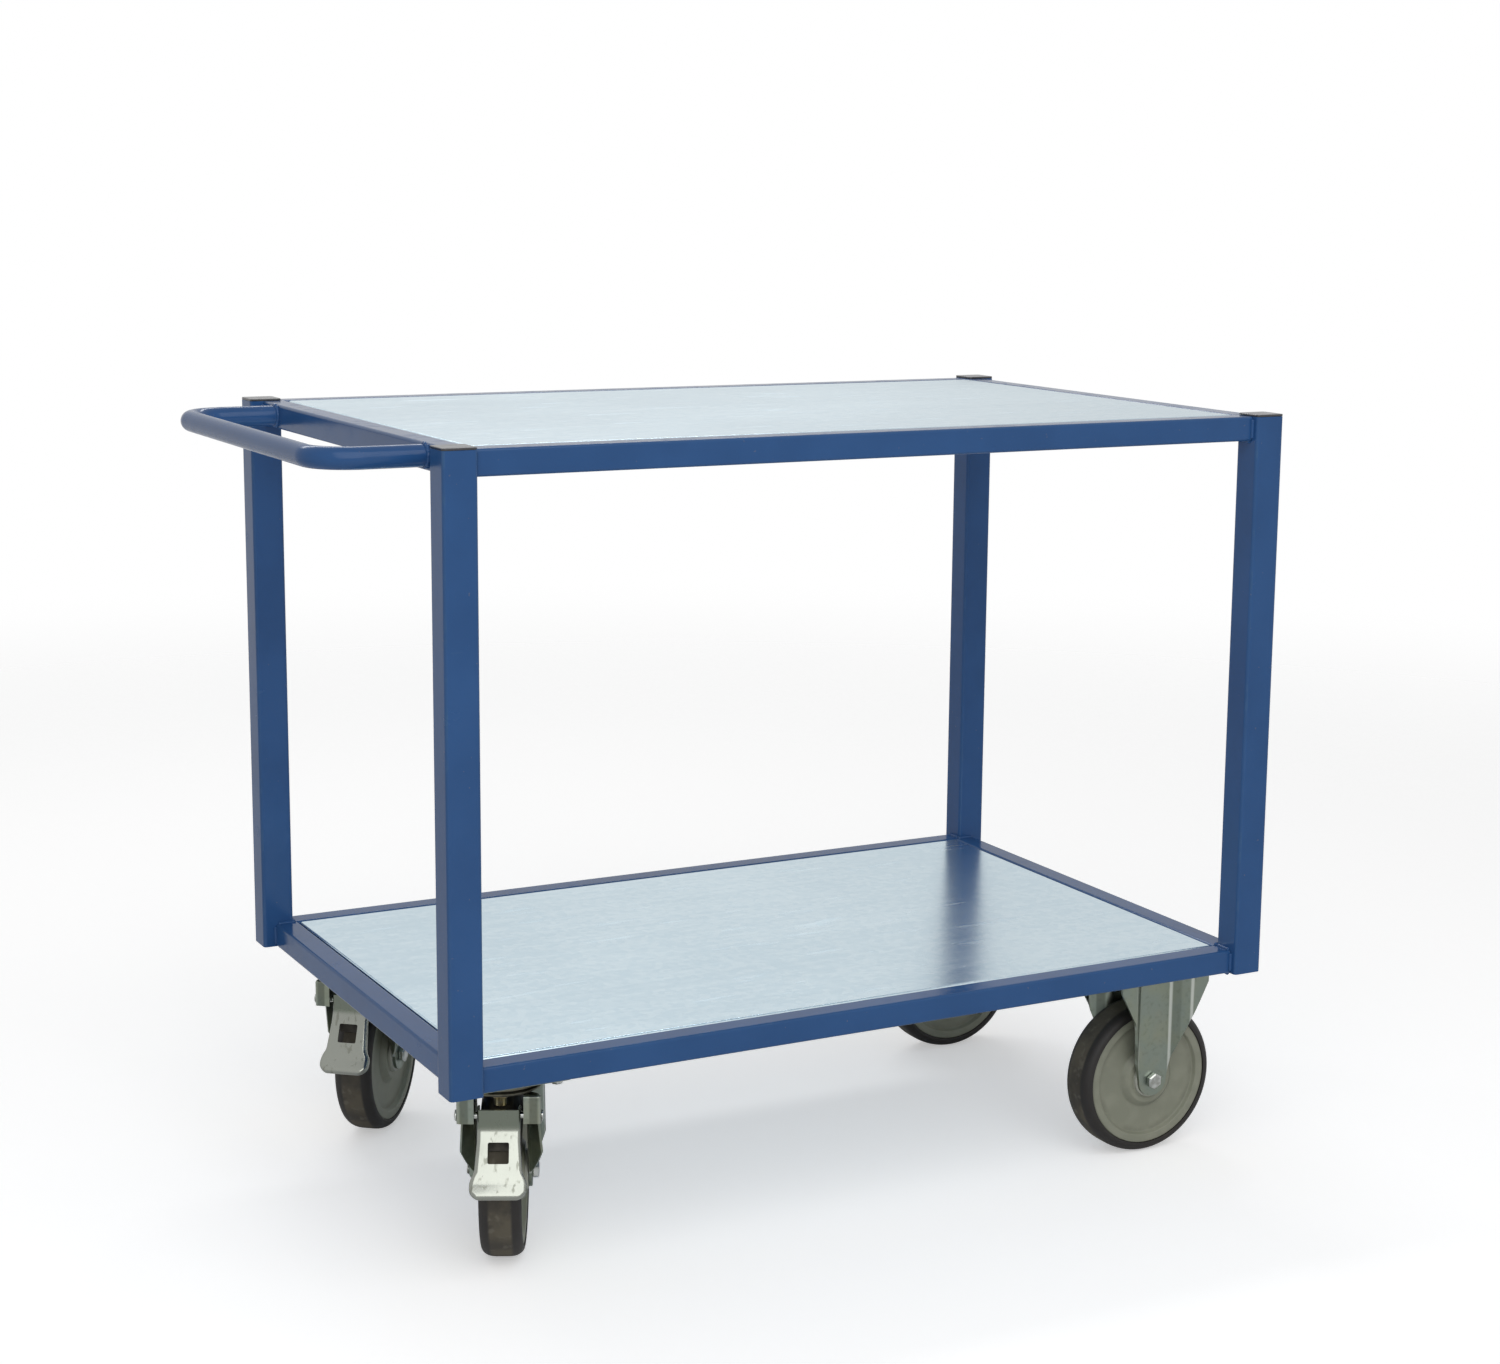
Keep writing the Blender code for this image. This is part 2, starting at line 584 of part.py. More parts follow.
def make_fixed_castor(side, across, zinc, plastic, rubber):
    """A castor that only rolls: its fork and top plate are one pressing under the front beam."""
    stand = joint_empty(f"fixed_castor_{side}", (CASTOR_X, across * CASTOR_Y, 0))
    half_plate = PLATE_LENGTH / 2
    shape = {"top": CASTOR_HEIGHT, "axle_x": 0.0, "strip_top": 0.0, "cheek": None}
    shape.update(strip=FIXED_STRIP, strip_end=FIXED_STRIP_END)
    shape.update(wall_run=FIXED_WALL_RUN, wall_end=FIXED_WALL_END, belly=FIXED_BELLY)
    shape.update(crest_face=PLATE_WIDTH / 2, flange_drop=FIXED_FLANGE_DROP, flange_end=FIXED_FLANGE_END)
    shape.update(rear=(-half_plate, -half_plate), front=(half_plate, half_plate))
    make_fork(f"fixed_fork_{side}", shape, stand, zinc)
    make_axle(f"fixed_{side}", across, stand, (0, 0, WHEEL_RADIUS), zinc)
    spin = joint_empty(f"fixed_wheel_{side}", (0, 0, WHEEL_RADIUS), stand)
    make_wheel(f"fixed_{side}_wheel", spin, plastic, rubber)


def make_swivel_head(side, frame_stand, zinc, bolt_zinc):
    """Top plate, ball race and king bolt, which stay with the frame."""
    plate_middle = CASTOR_HEIGHT - PLATE_THICKNESS / 2
    hole = KING_DIAMETER / 2 + BOLT_PLAY
    name = f"swivel_plate_{side}"
    bm = plain_box((PLATE_LENGTH, PLATE_WIDTH, PLATE_THICKNESS), PLATE_CORNER)
    plate = place(name, mesh_of(bm, name), zinc, frame_stand, (0, 0, plate_middle))
    drill(plate, "Z", hole, 2 * PLATE_THICKNESS, frame_stand, (0, 0, plate_middle))
    race_top = CASTOR_HEIGHT - PLATE_THICKNESS - CLEARANCE
    race_low = race_top - RACE_HEIGHT
    wide = RACE_DIAMETER / 2
    sections = [(wide, race_top), (wide, race_low + RACE_TAPER), (wide - RACE_TAPER, race_low)]
    sections += [(hole, race_low), (hole, race_top)]
    name = f"ball_race_{side}"
    place(name, mesh_of(turned(sections, "Z", RACE_SIDES, True), name), zinc, frame_stand)
    head_top = FORK_TOP - FORK_SHEET - CLEARANCE
    flats = -KING_HEX / 2
    shank = KING_DIAMETER / 2
    sections = [(shank, CASTOR_HEIGHT - CLEARANCE), (shank, head_top), (flats, head_top)]
    sections += [(flats, head_top - KING_HEAD), (shank, head_top - KING_HEAD)]
    sections.append((shank, head_top - KING_HEAD - KING_END))
    name = f"king_bolt_{side}"
    place(name, mesh_of(turned(sections, "Z", ROUND_SIDES, False), name), bolt_zinc, frame_stand)


def make_pedal(side, tilt, zinc):
    """A stamped brake pedal: an upright lever plate with two ears on the pin, then a sloping tread with
    a square window and a wider foot that turns out. The edges are turned back all round the tread."""
    slope = math.radians(PEDAL_SLOPE)
    down = Vector((math.cos(slope), 0, -math.sin(slope)))
    back = Vector((-math.sin(slope), 0, -math.cos(slope)))
    kick = math.radians(PEDAL_SLOPE - FOOT_KICK)
    foot_down = Vector((math.cos(kick), 0, -math.sin(kick)))
    foot_back = Vector((-math.sin(kick), 0, -math.cos(kick)))
    knee = Vector((PEDAL_FORWARD, 0, -PEDAL_KNEE))
    lever_back = Vector((-1, 0, 0))
    ear = PEDAL_FORWARD + EAR_REACH
    foot = knee + down * FLARE_END
    foot_length = PEDAL_LENGTH - FLARE_END
    rows = [(Vector((PEDAL_FORWARD, 0, PEDAL_TOP)), PEDAL_WIDTH, lever_back * ear)]
    rows.append((knee, PEDAL_WIDTH, lever_back * ear))
    rows.append((knee + down * PEDAL_EDGE * 2, PEDAL_WIDTH, back * PEDAL_EDGE))
    rows.append((knee + down * FLARE_START, PEDAL_WAIST, back * PEDAL_EDGE))
    rows.append((foot, PEDAL_FOOT, back * PEDAL_EDGE))
    rows.append((foot + foot_down * (foot_length - FOOT_CORNER), PEDAL_FOOT, foot_back * PEDAL_EDGE))
    foot_end = PEDAL_FOOT - 2 * FOOT_CORNER
    rows.append((foot + foot_down * foot_length, foot_end, foot_back * PEDAL_EDGE))
    bm = bmesh.new()
    grid = []
    for point, width, depth in rows:
        half = Vector((0, width / 2, 0))
        line = [point - half + depth, point - half, point + half, point + half + depth]
        grid.append([bm.verts.new(spot) for spot in line])
    for upper, lower in zip(grid, grid[1:]):
        for column in range(3):
            bm.faces.new((upper[column], upper[column + 1], lower[column + 1], lower[column]))
    bm.faces.new(grid[-1])
    bmesh.ops.recalc_face_normals(bm, faces=bm.faces)
    bm.faces.ensure_lookup_table()
    if bm.faces[1].normal.x < 0:
        bmesh.ops.reverse_faces(bm, faces=bm.faces)
    folds = [edge for edge in bm.edges if len(edge.link_faces) == 2 and edge.calc_face_angle() > 0.2]
    bmesh.ops.bevel(bm, geom=folds, offset=PEDAL_BEND, segments=BEND_STEPS, profile=0.5, affect="EDGES")
    name = f"brake_pedal_{side}"
    pedal = place(name, mesh_of(bm, name), zinc, tilt)
    give_wall(pedal, PEDAL_SHEET)
    window_name = f"{name}_window"
    window_bm = plain_box((WINDOW, WINDOW, WINDOW), WINDOW / 12)
    window = bpy.data.objects.new(window_name, mesh_of(window_bm, window_name))
    bpy.context.scene.collection.objects.link(window)
    window.parent = tilt
    window.location = knee + down * WINDOW_DOWN
    window.rotation_euler = (0, slope - math.pi / 2, 0)
    cut(pedal, window)
    hole = PIN_DIAMETER / 2 + BOLT_PLAY
    drill(pedal, "Y", hole, 2 * PEDAL_WIDTH, tilt, (0, 0, 0))


def make_shoe(side, tilt, zinc):
    """The brake shoe: an eye round the pin, a stem, and a pad that follows the tread."""
    axle = Vector((-TRAIL - PIN_FORWARD, -PIN_RISE))
    near = WHEEL_RADIUS + SHOE_GAP
    far = near + SHOE_THICKNESS

    def on_tread(radius, degrees):
        angle = math.radians(degrees)
        return axle + radius * Vector((math.cos(angle), math.sin(angle)))

    steps = [SHOE_START + (SHOE_END - SHOE_START) * step / ARC_STEPS for step in range(ARC_STEPS + 1)]
    middle = on_tread(far, (SHOE_START + SHOE_END) / 2)
    stem_way = middle.normalized()
    across = Vector((-stem_way.y, stem_way.x)) * SHOE_STEM / 2
    outline = [on_tread(near, angle) for angle in steps]
    outline += [on_tread(far, SHOE_END), middle - across]
    eye = PEDAL_FORWARD - PEDAL_SHEET - SHOE_EYE_GAP
    eye_half = math.asin(SHOE_STEM / 2 / eye)
    eye_start = math.atan2(stem_way.y, stem_way.x) - eye_half
    for step in range(ARC_STEPS + 1):
        angle = eye_start - (2 * math.pi - 2 * eye_half) * step / ARC_STEPS
        outline.append(eye * Vector((math.cos(angle), math.sin(angle))))
    outline += [middle + across, on_tread(far, SHOE_START)]
    bm = bmesh.new()
    face = bm.faces.new([bm.verts.new((spot.x, -SHOE_WIDTH / 2, spot.y)) for spot in outline])
    pulled = bmesh.ops.extrude_face_region(bm, geom=[face])["geom"]
    moved = [item for item in pulled if isinstance(item, bmesh.types.BMVert)]
    bmesh.ops.translate(bm, vec=(0, SHOE_WIDTH, 0), verts=moved)
    bmesh.ops.recalc_face_normals(bm, faces=bm.faces)
    name = f"brake_shoe_{side}"
    shoe = place(name, mesh_of(bm, name), zinc, tilt)
    drill(shoe, "Y", PIN_DIAMETER / 2 + BOLT_PLAY, 2 * SHOE_WIDTH, tilt, (0, 0, 0))


def make_swivel_castor(side, across, zinc, bolt_zinc, plastic, rubber):
    """A castor that turns round its king bolt, with a brake on the side away from the axle."""
    spot = (-CASTOR_X, across * CASTOR_Y, 0)
    frame_stand = joint_empty(f"swivel_head_{side}", spot)
    make_swivel_head(side, frame_stand, zinc, bolt_zinc)
    turn = joint_empty(f"swivel_{side}", spot, None, HEADINGS[side])
    shape = {"top": FORK_TOP, "axle_x": -TRAIL, "strip_top": SWIVEL_STRIP_TOP, "cheek": CHEEK_INNER}
    shape.update(strip=SWIVEL_STRIP, strip_end=SWIVEL_STRIP_END)
    shape.update(wall_run=SWIVEL_WALL_RUN, wall_end=SWIVEL_WALL_END, belly=SWIVEL_BELLY)
    shape.update(crest_face=SWIVEL_CREST, flange_drop=SWIVEL_FLANGE_DROP, flange_end=SWIVEL_FLANGE_END)
    shape.update(front=(SWIVEL_FRONT, SWIVEL_FRONT), rear=(-SWIVEL_REAR, -SWIVEL_REAR - SWIVEL_REAR_LEAN))
    shape.update(head_front=SWIVEL_HEAD_FRONT, ear_end=SWIVEL_EAR_END)
    fork = make_fork(f"swivel_fork_{side}", shape, turn, zinc)
    drill(fork, "Z", KING_DIAMETER / 2 + BOLT_PLAY, 4 * FORK_SHEET, turn, (0, 0, FORK_TOP))
    pin_spot = (PIN_FORWARD, 0, WHEEL_RADIUS + PIN_RISE)
    drill(fork, "Y", PIN_DIAMETER / 2 + BOLT_PLAY, 4 * SWIVEL_CREST, turn, pin_spot)
    make_axle(f"swivel_{side}", 1, turn, (-TRAIL, 0, WHEEL_RADIUS), zinc)
    spin = joint_empty(f"swivel_wheel_{side}", (-TRAIL, 0, WHEEL_RADIUS), turn)
    make_wheel(f"swivel_{side}_wheel", spin, plastic, rubber)
    tilt = joint_empty(f"brake_{side}", pin_spot, turn)
    make_pedal(side, tilt, zinc)
    make_shoe(side, tilt, zinc)
    shank = PIN_DIAMETER / 2
    head = PIN_HEAD / 2
    seat = SWIVEL_CREST + CLEARANCE
    sections = [(head, seat + PIN_HEAD_HEIGHT), (head, seat), (shank, seat)]
    sections += [(radius, -along) for radius, along in reversed(sections)]
    name = f"brake_pin_{side}"
    place(name, mesh_of(turned(sections, "Y", ROUND_SIDES, False), name), zinc, turn, pin_spot)


def centre_on_origin():
    """Move everything so that the origin lies under the middle of the whole object."""
    graph = bpy.context.evaluated_depsgraph_get()
    points = []
    for piece in bpy.data.objects:
        if piece.type != "EMPTY" and not piece.hide_render:
            solid = piece.evaluated_get(graph)
            points += [solid.matrix_world @ spot.co for spot in solid.to_mesh().vertices]
            solid.to_mesh_clear()
    middle_x = (min(spot.x for spot in points) + max(spot.x for spot in points)) / 2
    middle_y = (min(spot.y for spot in points) + max(spot.y for spot in points)) / 2
    for root in bpy.data.objects:
        if root.parent is None:
            root.location.x -= middle_x
            root.location.y -= middle_y


def make_trolley():
    for leftover in list(bpy.data.objects):
        bpy.data.objects.remove(leftover, do_unlink=True)
    paint = material("blue_paint", (0.036, 0.105, 0.262), 0.32, 0.0)
    cap_plastic = material("cap_plastic", (0.012, 0.013, 0.020), 0.40, 0.0)
    sheet_zinc = material("sheet_zinc", (0.62, 0.66, 0.68), 0.28, 1.0)
    castor_zinc = material("castor_zinc", (0.50, 0.53, 0.50), 0.35, 1.0)
    bolt_zinc = material("bolt_zinc", (0.55, 0.48, 0.26), 0.35, 1.0)
    rim_plastic = material("rim_plastic", (0.23, 0.23, 0.20), 0.45, 0.0)
    tyre_rubber = material("tyre_rubber", (0.030, 0.027, 0.024), 0.70, 0.0)

    frame = joint_empty("frame", (0, 0, 0))
    make_posts(frame, paint, cap_plastic)
    make_rails(frame, paint)
    make_handle(frame, paint)
    flange = [make_beam(end, along, frame, paint) for end, along in ENDS.items()][0] + BEAM_SHEET / 2
    make_crossbar("lower_crossbar", 0, LOWER_SHELF, frame, paint)
    for end, along in ENDS.items():
        make_crossbar(f"upper_crossbar_{end}", along * UPPER_BAR_SPREAD / 2, UPPER_SHELF, frame, paint)
    lower_bars = [(0, CROSSBAR_WIDTH), (flange, BEAM_SHEET), (-flange, BEAM_SHEET)]
    upper_bars = [(along * UPPER_BAR_SPREAD / 2, CROSSBAR_WIDTH) for along in ENDS.values()]
    make_sheet("lower", LOWER_SHELF, lower_bars, frame, sheet_zinc)
    make_sheet("upper", UPPER_SHELF, upper_bars, frame, sheet_zinc)
    for side, across in SIDES.items():
        make_fixed_castor(side, across, castor_zinc, rim_plastic, tyre_rubber)
        make_swivel_castor(side, across, castor_zinc, bolt_zinc, rim_plastic, tyre_rubber)
    centre_on_origin()


make_trolley()
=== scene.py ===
import json
import math

import bmesh
import bpy
from mathutils import Matrix, Vector

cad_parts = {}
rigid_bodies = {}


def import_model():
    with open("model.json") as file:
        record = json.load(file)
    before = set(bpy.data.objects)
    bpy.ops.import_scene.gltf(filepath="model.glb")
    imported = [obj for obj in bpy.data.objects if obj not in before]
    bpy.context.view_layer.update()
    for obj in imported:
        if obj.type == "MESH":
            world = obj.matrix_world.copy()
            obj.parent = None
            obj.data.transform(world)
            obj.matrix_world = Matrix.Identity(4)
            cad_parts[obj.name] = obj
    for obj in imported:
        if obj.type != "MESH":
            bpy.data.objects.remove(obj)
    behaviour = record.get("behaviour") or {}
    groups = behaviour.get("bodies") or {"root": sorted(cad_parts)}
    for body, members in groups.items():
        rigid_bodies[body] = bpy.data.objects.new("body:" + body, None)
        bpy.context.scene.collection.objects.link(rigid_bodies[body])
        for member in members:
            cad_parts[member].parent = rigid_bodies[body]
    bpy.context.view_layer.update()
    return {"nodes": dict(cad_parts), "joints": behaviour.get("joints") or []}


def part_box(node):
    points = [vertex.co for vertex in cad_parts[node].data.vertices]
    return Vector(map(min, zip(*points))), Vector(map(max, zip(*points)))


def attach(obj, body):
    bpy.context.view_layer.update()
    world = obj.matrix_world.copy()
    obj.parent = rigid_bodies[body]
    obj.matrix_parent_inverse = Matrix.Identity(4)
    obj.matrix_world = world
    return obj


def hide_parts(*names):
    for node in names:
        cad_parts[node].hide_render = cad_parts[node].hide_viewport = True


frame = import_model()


# Studio: a camera where the photograph was taken from, a pale floor that runs out into a white
# surround, one large soft lamp in front and a narrow one behind. None of it belongs to the trolley.
EYE = Vector((-1.4943, -2.9630, 1.2467))
YAW = math.radians(28.35)      # from +Y towards +X
PITCH = math.radians(10.26)    # below the horizon
ROLL = 0.0103
LENS = 64.2                    # in millimetres, as the sensor's width is
SENSOR = 36.0
SHIFT_X = -0.02144
SHIFT_Y = -0.01507
FLOOR_RADIUS = 7.0
FLOOR_SOLID = 1.5              # the floor starts to run out into the surround here
FLOOR_GONE = 5.0
FLOOR_WHITE = (0.90, 0.90, 0.90, 1.0)
FLOOR_GLOW = 0.42              # lifts the lit floor to white for the camera
FLOOR_MIRRORED = 0.05          # lifts it in metal and gloss, to the level of the surround there
SURROUND_LIGHT = 0.32          # what the white surround gives to matt surfaces
SURROUND_MIRRORED = 0.72       # what it shows in metal and gloss


class Surface:
    """One socket of a finish's nodes. Sums and products of sockets and numbers add Math nodes."""

    def __init__(self, tree, socket=None):
        self.tree = tree
        self.socket = socket

    def node(self, kind, settings=None, inputs=None, output=0):
        """Add any node: its settings first, then the values or links of its sockets."""
        made = self.tree.nodes.new(kind)
        for name, value in (settings or {}).items():
            setattr(made, name, value)
        for name, value in (inputs or {}).items():
            if isinstance(value, Surface):
                self.tree.links.new(value.socket, made.inputs[name])
            else:
                made.inputs[name].default_value = value
        return Surface(self.tree, made.outputs[output] if made.outputs else None)

    def math(self, operation, one, other):
        return self.node("ShaderNodeMath", {"operation": operation}, {0: one, 1: other})

    def __add__(self, other):
        return self.math("ADD", self, other)

    def __radd__(self, other):
        return self.math("ADD", other, self)

    def __sub__(self, other):
        return self.math("SUBTRACT", self, other)

    def __rsub__(self, other):
        return self.math("SUBTRACT", other, self)

    def __mul__(self, other):
        return self.math("MULTIPLY", self, other)

    def __rmul__(self, other):
        return self.math("MULTIPLY", other, self)

    def __pow__(self, other):
        return self.math("POWER", self, other)

    def __abs__(self):
        return self.math("ABSOLUTE", self, 0.0)

    def step(self, start, end):
        """0 below start, 1 above end, and a soft run between them."""
        limits = {"Value": self, "From Min": start, "From Max": end}
        return self.node("ShaderNodeMapRange", {"interpolation_type": "SMOOTHSTEP"}, limits)

    def noise(self, scale, detail=2.0):
        """Soft noise at this place, with a number of cells to the metre."""
        inputs = {"Vector": self, "Scale": scale, "Detail": detail}
        return self.node("ShaderNodeTexNoise", None, inputs)

    def stored(self, name, output):
        """What the mesh keeps under a name at each of its points."""
        return self.node("ShaderNodeAttribute", {"attribute_name": name}, None, output)

    def along(self, axis):
        """One of this place's three coordinates."""
        return self.node("ShaderNodeSeparateXYZ", None, {0: self}, axis)

    def stretched(self, scale):
        """This place with its axes scaled, so that a pattern on it is drawn out."""
        return self.node("ShaderNodeMapping", None, {"Vector": self, "Scale": scale})

    def shade(self, one, other):
        """From one colour at 0 to another at 1."""
        colours = {0: self}
        for number, colour in ((6, one), (7, other)):
            colours[number] = colour if isinstance(colour, Surface) else (*colour, 1.0)
        return self.node("ShaderNodeMix", {"data_type": "RGBA"}, colours, 2)

    def relief(self, depth, strength, under=None):
        """The surface's direction where this height, from 0 to 1, stands up by so many metres."""
        inputs = {"Height": self, "Distance": depth, "Strength": strength}
        if under:
            inputs["Normal"] = under
        return self.node("ShaderNodeBump", None, inputs)


def new_finish(name):
    """An empty material, and the place on the surface that its patterns start from."""
    finish = bpy.data.materials.new(name)
    finish.use_nodes = True
    finish.node_tree.nodes.clear()
    return finish, Surface(finish.node_tree).node("ShaderNodeTexCoord", output="Object")


def close_finish(place, **sockets):
    """Give the patterns to the shader's sockets."""
    named = {name.replace("_", " "): value for name, value in sockets.items()}
    shader = place.node("ShaderNodeBsdfPrincipled", None, named)
    place.node("ShaderNodeOutputMaterial", None, {"Surface": shader})


def seen_glow(place, straight, mirrored):
    """The glow that the camera sees, straight or through glass, and the one that mirrors show."""
    eye = place.node("ShaderNodeLightPath", output="Is Camera Ray")
    eye = eye + place.node("ShaderNodeLightPath", output="Is Transmission Ray")
    return straight * eye + mirrored * place.node("ShaderNodeLightPath", output="Is Glossy Ray")


bpy.context.scene.view_settings.view_transform = "Standard"
camera_data = bpy.data.cameras.new("camera")
camera_data.lens = LENS
camera_data.sensor_width = SENSOR
camera_data.shift_x = SHIFT_X
camera_data.shift_y = SHIFT_Y
camera = bpy.data.objects.new("camera", camera_data)
bpy.context.scene.collection.objects.link(camera)
aim = Matrix.Rotation(-YAW, 4, "Z") @ Matrix.Rotation(math.pi / 2 - PITCH, 4, "X")
camera.matrix_world = Matrix.Translation(EYE) @ aim @ Matrix.Rotation(ROLL, 4, "Z")
bpy.context.scene.camera = camera

surround = bpy.data.worlds.new("surround")
surround.use_nodes = True
surround.node_tree.nodes.clear()
bpy.context.scene.world = surround
air = Surface(surround.node_tree)
seen = seen_glow(air, 1 - SURROUND_LIGHT, SURROUND_MIRRORED - SURROUND_LIGHT)
white = {"Color": (1.0, 1.0, 1.0, 1.0), "Strength": SURROUND_LIGHT + seen}
glow = air.node("ShaderNodeBackground", None, white)
air.node("ShaderNodeOutputWorld", None, {"Surface": glow})

floor_finish, place = new_finish("pale_floor")
reach = place.node("ShaderNodeVectorMath", {"operation": "LENGTH"}, {0: place}, "Value")
lifted = seen_glow(place, FLOOR_GLOW, FLOOR_MIRRORED).shade((0.0, 0.0, 0.0), (1.0, 1.0, 1.0))
close_finish(place, Base_Color=FLOOR_WHITE, Roughness=0.9,
             Alpha=1 - reach.step(FLOOR_SOLID, FLOOR_GONE),
             Emission_Color=lifted, Emission_Strength=1.0)
bpy.ops.object.select_all(action="DESELECT")
bpy.ops.mesh.primitive_circle_add(vertices=96, radius=FLOOR_RADIUS, fill_type="NGON")
floor = bpy.context.active_object
floor.name = "floor"
floor.data.materials.append(floor_finish)

LAMPS = {                      # place, target, width, depth and watts
    "front_lamp": ((-0.85, -3.10, 3.0), (0.0, -0.1, 0.5), 4.2, 4.2, 92.0),
    "back_lamp": ((0.2, 2.7, 2.9), (0.0, 0.0, 0.8), 3.2, 0.4, 24.0),
}
for name, (spot, target, width, depth, power) in LAMPS.items():
    lamp_data = bpy.data.lights.new(name, "AREA")
    lamp_data.shape = "RECTANGLE"
    lamp_data.size = width
    lamp_data.size_y = depth
    lamp_data.energy = power
    lamp = bpy.data.objects.new(name, lamp_data)
    bpy.context.scene.collection.objects.link(lamp)
    lamp.location = spot
    lamp.rotation_euler = (Vector(target) - Vector(spot)).to_track_quat("-Z", "Y").to_euler()


# Posts: four square steel tubes, 40 mm with 2 mm walls and drawn corners, cut square at both
# ends. The whole frame is welded first and then powder coated in a half-gloss blue.
POST_WALL = 0.002
POST_CORNER = 0.0045
CUT_EDGE = 0.0004              # what deburring takes off a cut edge
FACING = 0.9                   # a face looks along an axis when its normal has this much of it
BLUE = (0.029, 0.098, 0.264)
BLUE_DEEP = (0.024, 0.085, 0.234)
# lighter blue for worn coat in scratches and along the bends, where it is also a painted highlight
BLUE_WORN_AND_HIGHLIGHT = (0.040, 0.110, 0.250)
DUST = (0.20, 0.19, 0.17)

# Powder coat has orange peel, and is thinner and rubbed along the bends. The lighter blue along the
# bends is partly that wear and partly a painted highlight.
paint, place = new_finish("blue_paint")
drift = place.noise(9.0, 3.0)
peel = place.noise(620.0, 1.0)
rubbed = place.noise(46.0, 4.0).step(0.52, 0.72)
bend = place.stored("bend", "Fac")
colour = drift.step(0.30, 0.70).shade(BLUE_DEEP, BLUE)
# Bends get lighter: partly a thin, rubbed coat, and partly a painted highlight along every bend
colour = (bend.step(0.2, 0.9) * (0.25 + 0.65 * rubbed)).shade(colour, BLUE_WORN_AND_HIGHLIGHT)
scratches = place.stretched((30.0, 30.0, 260.0)).noise(1.0, 5.0).step(0.70, 0.76)
colour = (0.30 * scratches).shade(colour, BLUE_WORN_AND_HIGHLIGHT)
specks = place.noise(210.0, 1.0).step(0.76, 0.80)
colour = (0.28 * specks).shade(colour, DUST)
normal = place.noise(36.0, 1.0).relief(0.0006, 0.10, peel.relief(0.0002, 0.16))
close_finish(place, Base_Color=colour, Roughness=0.10 + 0.12 * drift + 0.10 * rubbed, Normal=normal,
             Specular_IOR_Level=0.25)


def start(kind, name, scale=(1, 1, 1), **settings):
    """Add a primitive at its size and place, with nothing else selected, and open it."""
    bpy.ops.object.select_all(action="DESELECT")
    getattr(bpy.ops.mesh, f"primitive_{kind}_add")(**settings)
    piece = bpy.context.active_object
    piece.scale = scale
    piece.name = name
    piece.data.name = name
    bpy.ops.object.transform_apply(location=True, rotation=True, scale=True)
    bpy.ops.object.mode_set(mode="EDIT")
    bpy.ops.mesh.select_mode(type="VERT")
    bpy.ops.mesh.select_all(action="SELECT")
    return piece


def start_block(name, low, high):
    """Open a block between two corners for editing."""
    return start("cube", name, size=1, location=(low + high) / 2, scale=high - low)


def pick(kind, wanted):
    """Select what passes a test among the vertices, edges or faces of the piece being edited."""
    bpy.ops.mesh.select_mode(type=kind)
    bpy.ops.mesh.select_all(action="DESELECT")
    mesh = bpy.context.edit_object.data
    bm = bmesh.from_edit_mesh(mesh)
    bm.normal_update()
    for item in {"VERT": bm.verts, "EDGE": bm.edges, "FACE": bm.faces}[kind]:
        if wanted(item):
            item.select_set(True)
    bm.select_flush_mode()
    bmesh.update_edit_mesh(mesh)


def pull(x, y, z):
    """Extrude what is selected."""
    bpy.ops.mesh.extrude_region_move(TRANSFORM_OT_translate={"value": (x, y, z)})


def round_off(offset, segments):
    """Round the edges that are selected."""
    bpy.ops.mesh.bevel(offset=offset, segments=segments, affect="EDGES")


def harden(piece, kind, **settings):
    """Add a modifier and apply it."""
    if piece.mode == "EDIT":
        bpy.ops.object.mode_set(mode="OBJECT")
    modifier = piece.modifiers.new(kind.lower(), kind)
    for name, value in settings.items():
        setattr(modifier, name, value)
    bpy.context.view_layer.objects.active = piece
    bpy.ops.object.modifier_apply(modifier=modifier.name)


def give_wall(piece, wall):
    """Give an open sheet its wall, on the inside."""
    harden(piece, "SOLIDIFY", thickness=wall, offset=-1, use_even_offset=True)


def break_edges(piece, width, segments=2, limit=40):
    """Round the hard edges a little, then shade bends smooth and flats flat."""
    hard = {"limit_method": "ANGLE", "angle_limit": math.radians(limit)}
    harden(piece, "BEVEL", width=width, segments=segments, **hard)
    bpy.ops.object.select_all(action="DESELECT")
    piece.select_set(True)
    bpy.ops.object.shade_smooth_by_angle(angle=math.radians(limit))
    harden(piece, "WEIGHTED_NORMAL", keep_sharp=True)


def mark_bends(piece):
    """Store 1 along the middle of the bends that were just made, 0 elsewhere, for the finish."""
    bpy.ops.mesh.select_less()
    bm = bmesh.from_edit_mesh(piece.data)
    layer = bm.verts.layers.float.new("bend")
    for vert in bm.verts:
        faces = vert.link_faces
        vert[layer] = float(bool(faces) and all(face.select for face in faces))
    bmesh.update_edit_mesh(piece.data)


def square_tube(name, node, along, wall, corner):
    """A drawn square tube in the place of a CAD node, open at both ends of one axis."""
    tube = start_block(name, *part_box(node))
    pick("FACE", lambda face: abs(face.normal[along]) > FACING)
    bpy.ops.mesh.delete(type="FACE")
    pick("EDGE", lambda edge: len(edge.link_faces) == 2)
    round_off(corner, 6)
    mark_bends(tube)
    give_wall(tube, wall)
    break_edges(tube, CUT_EDGE)
    return tube


ENDS = ("front", "rear")
HANDS = ("left", "right")
CORNERS = [(end, hand) for end in ENDS for hand in HANDS]
for end, hand in CORNERS:
    node = f"post_{end}_{hand}"
    post = square_tube(f"post_tube_{end}_{hand}", node, 2, POST_WALL, POST_CORNER)
    post.data.materials.append(paint)
    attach(post, "frame")
    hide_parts(node)


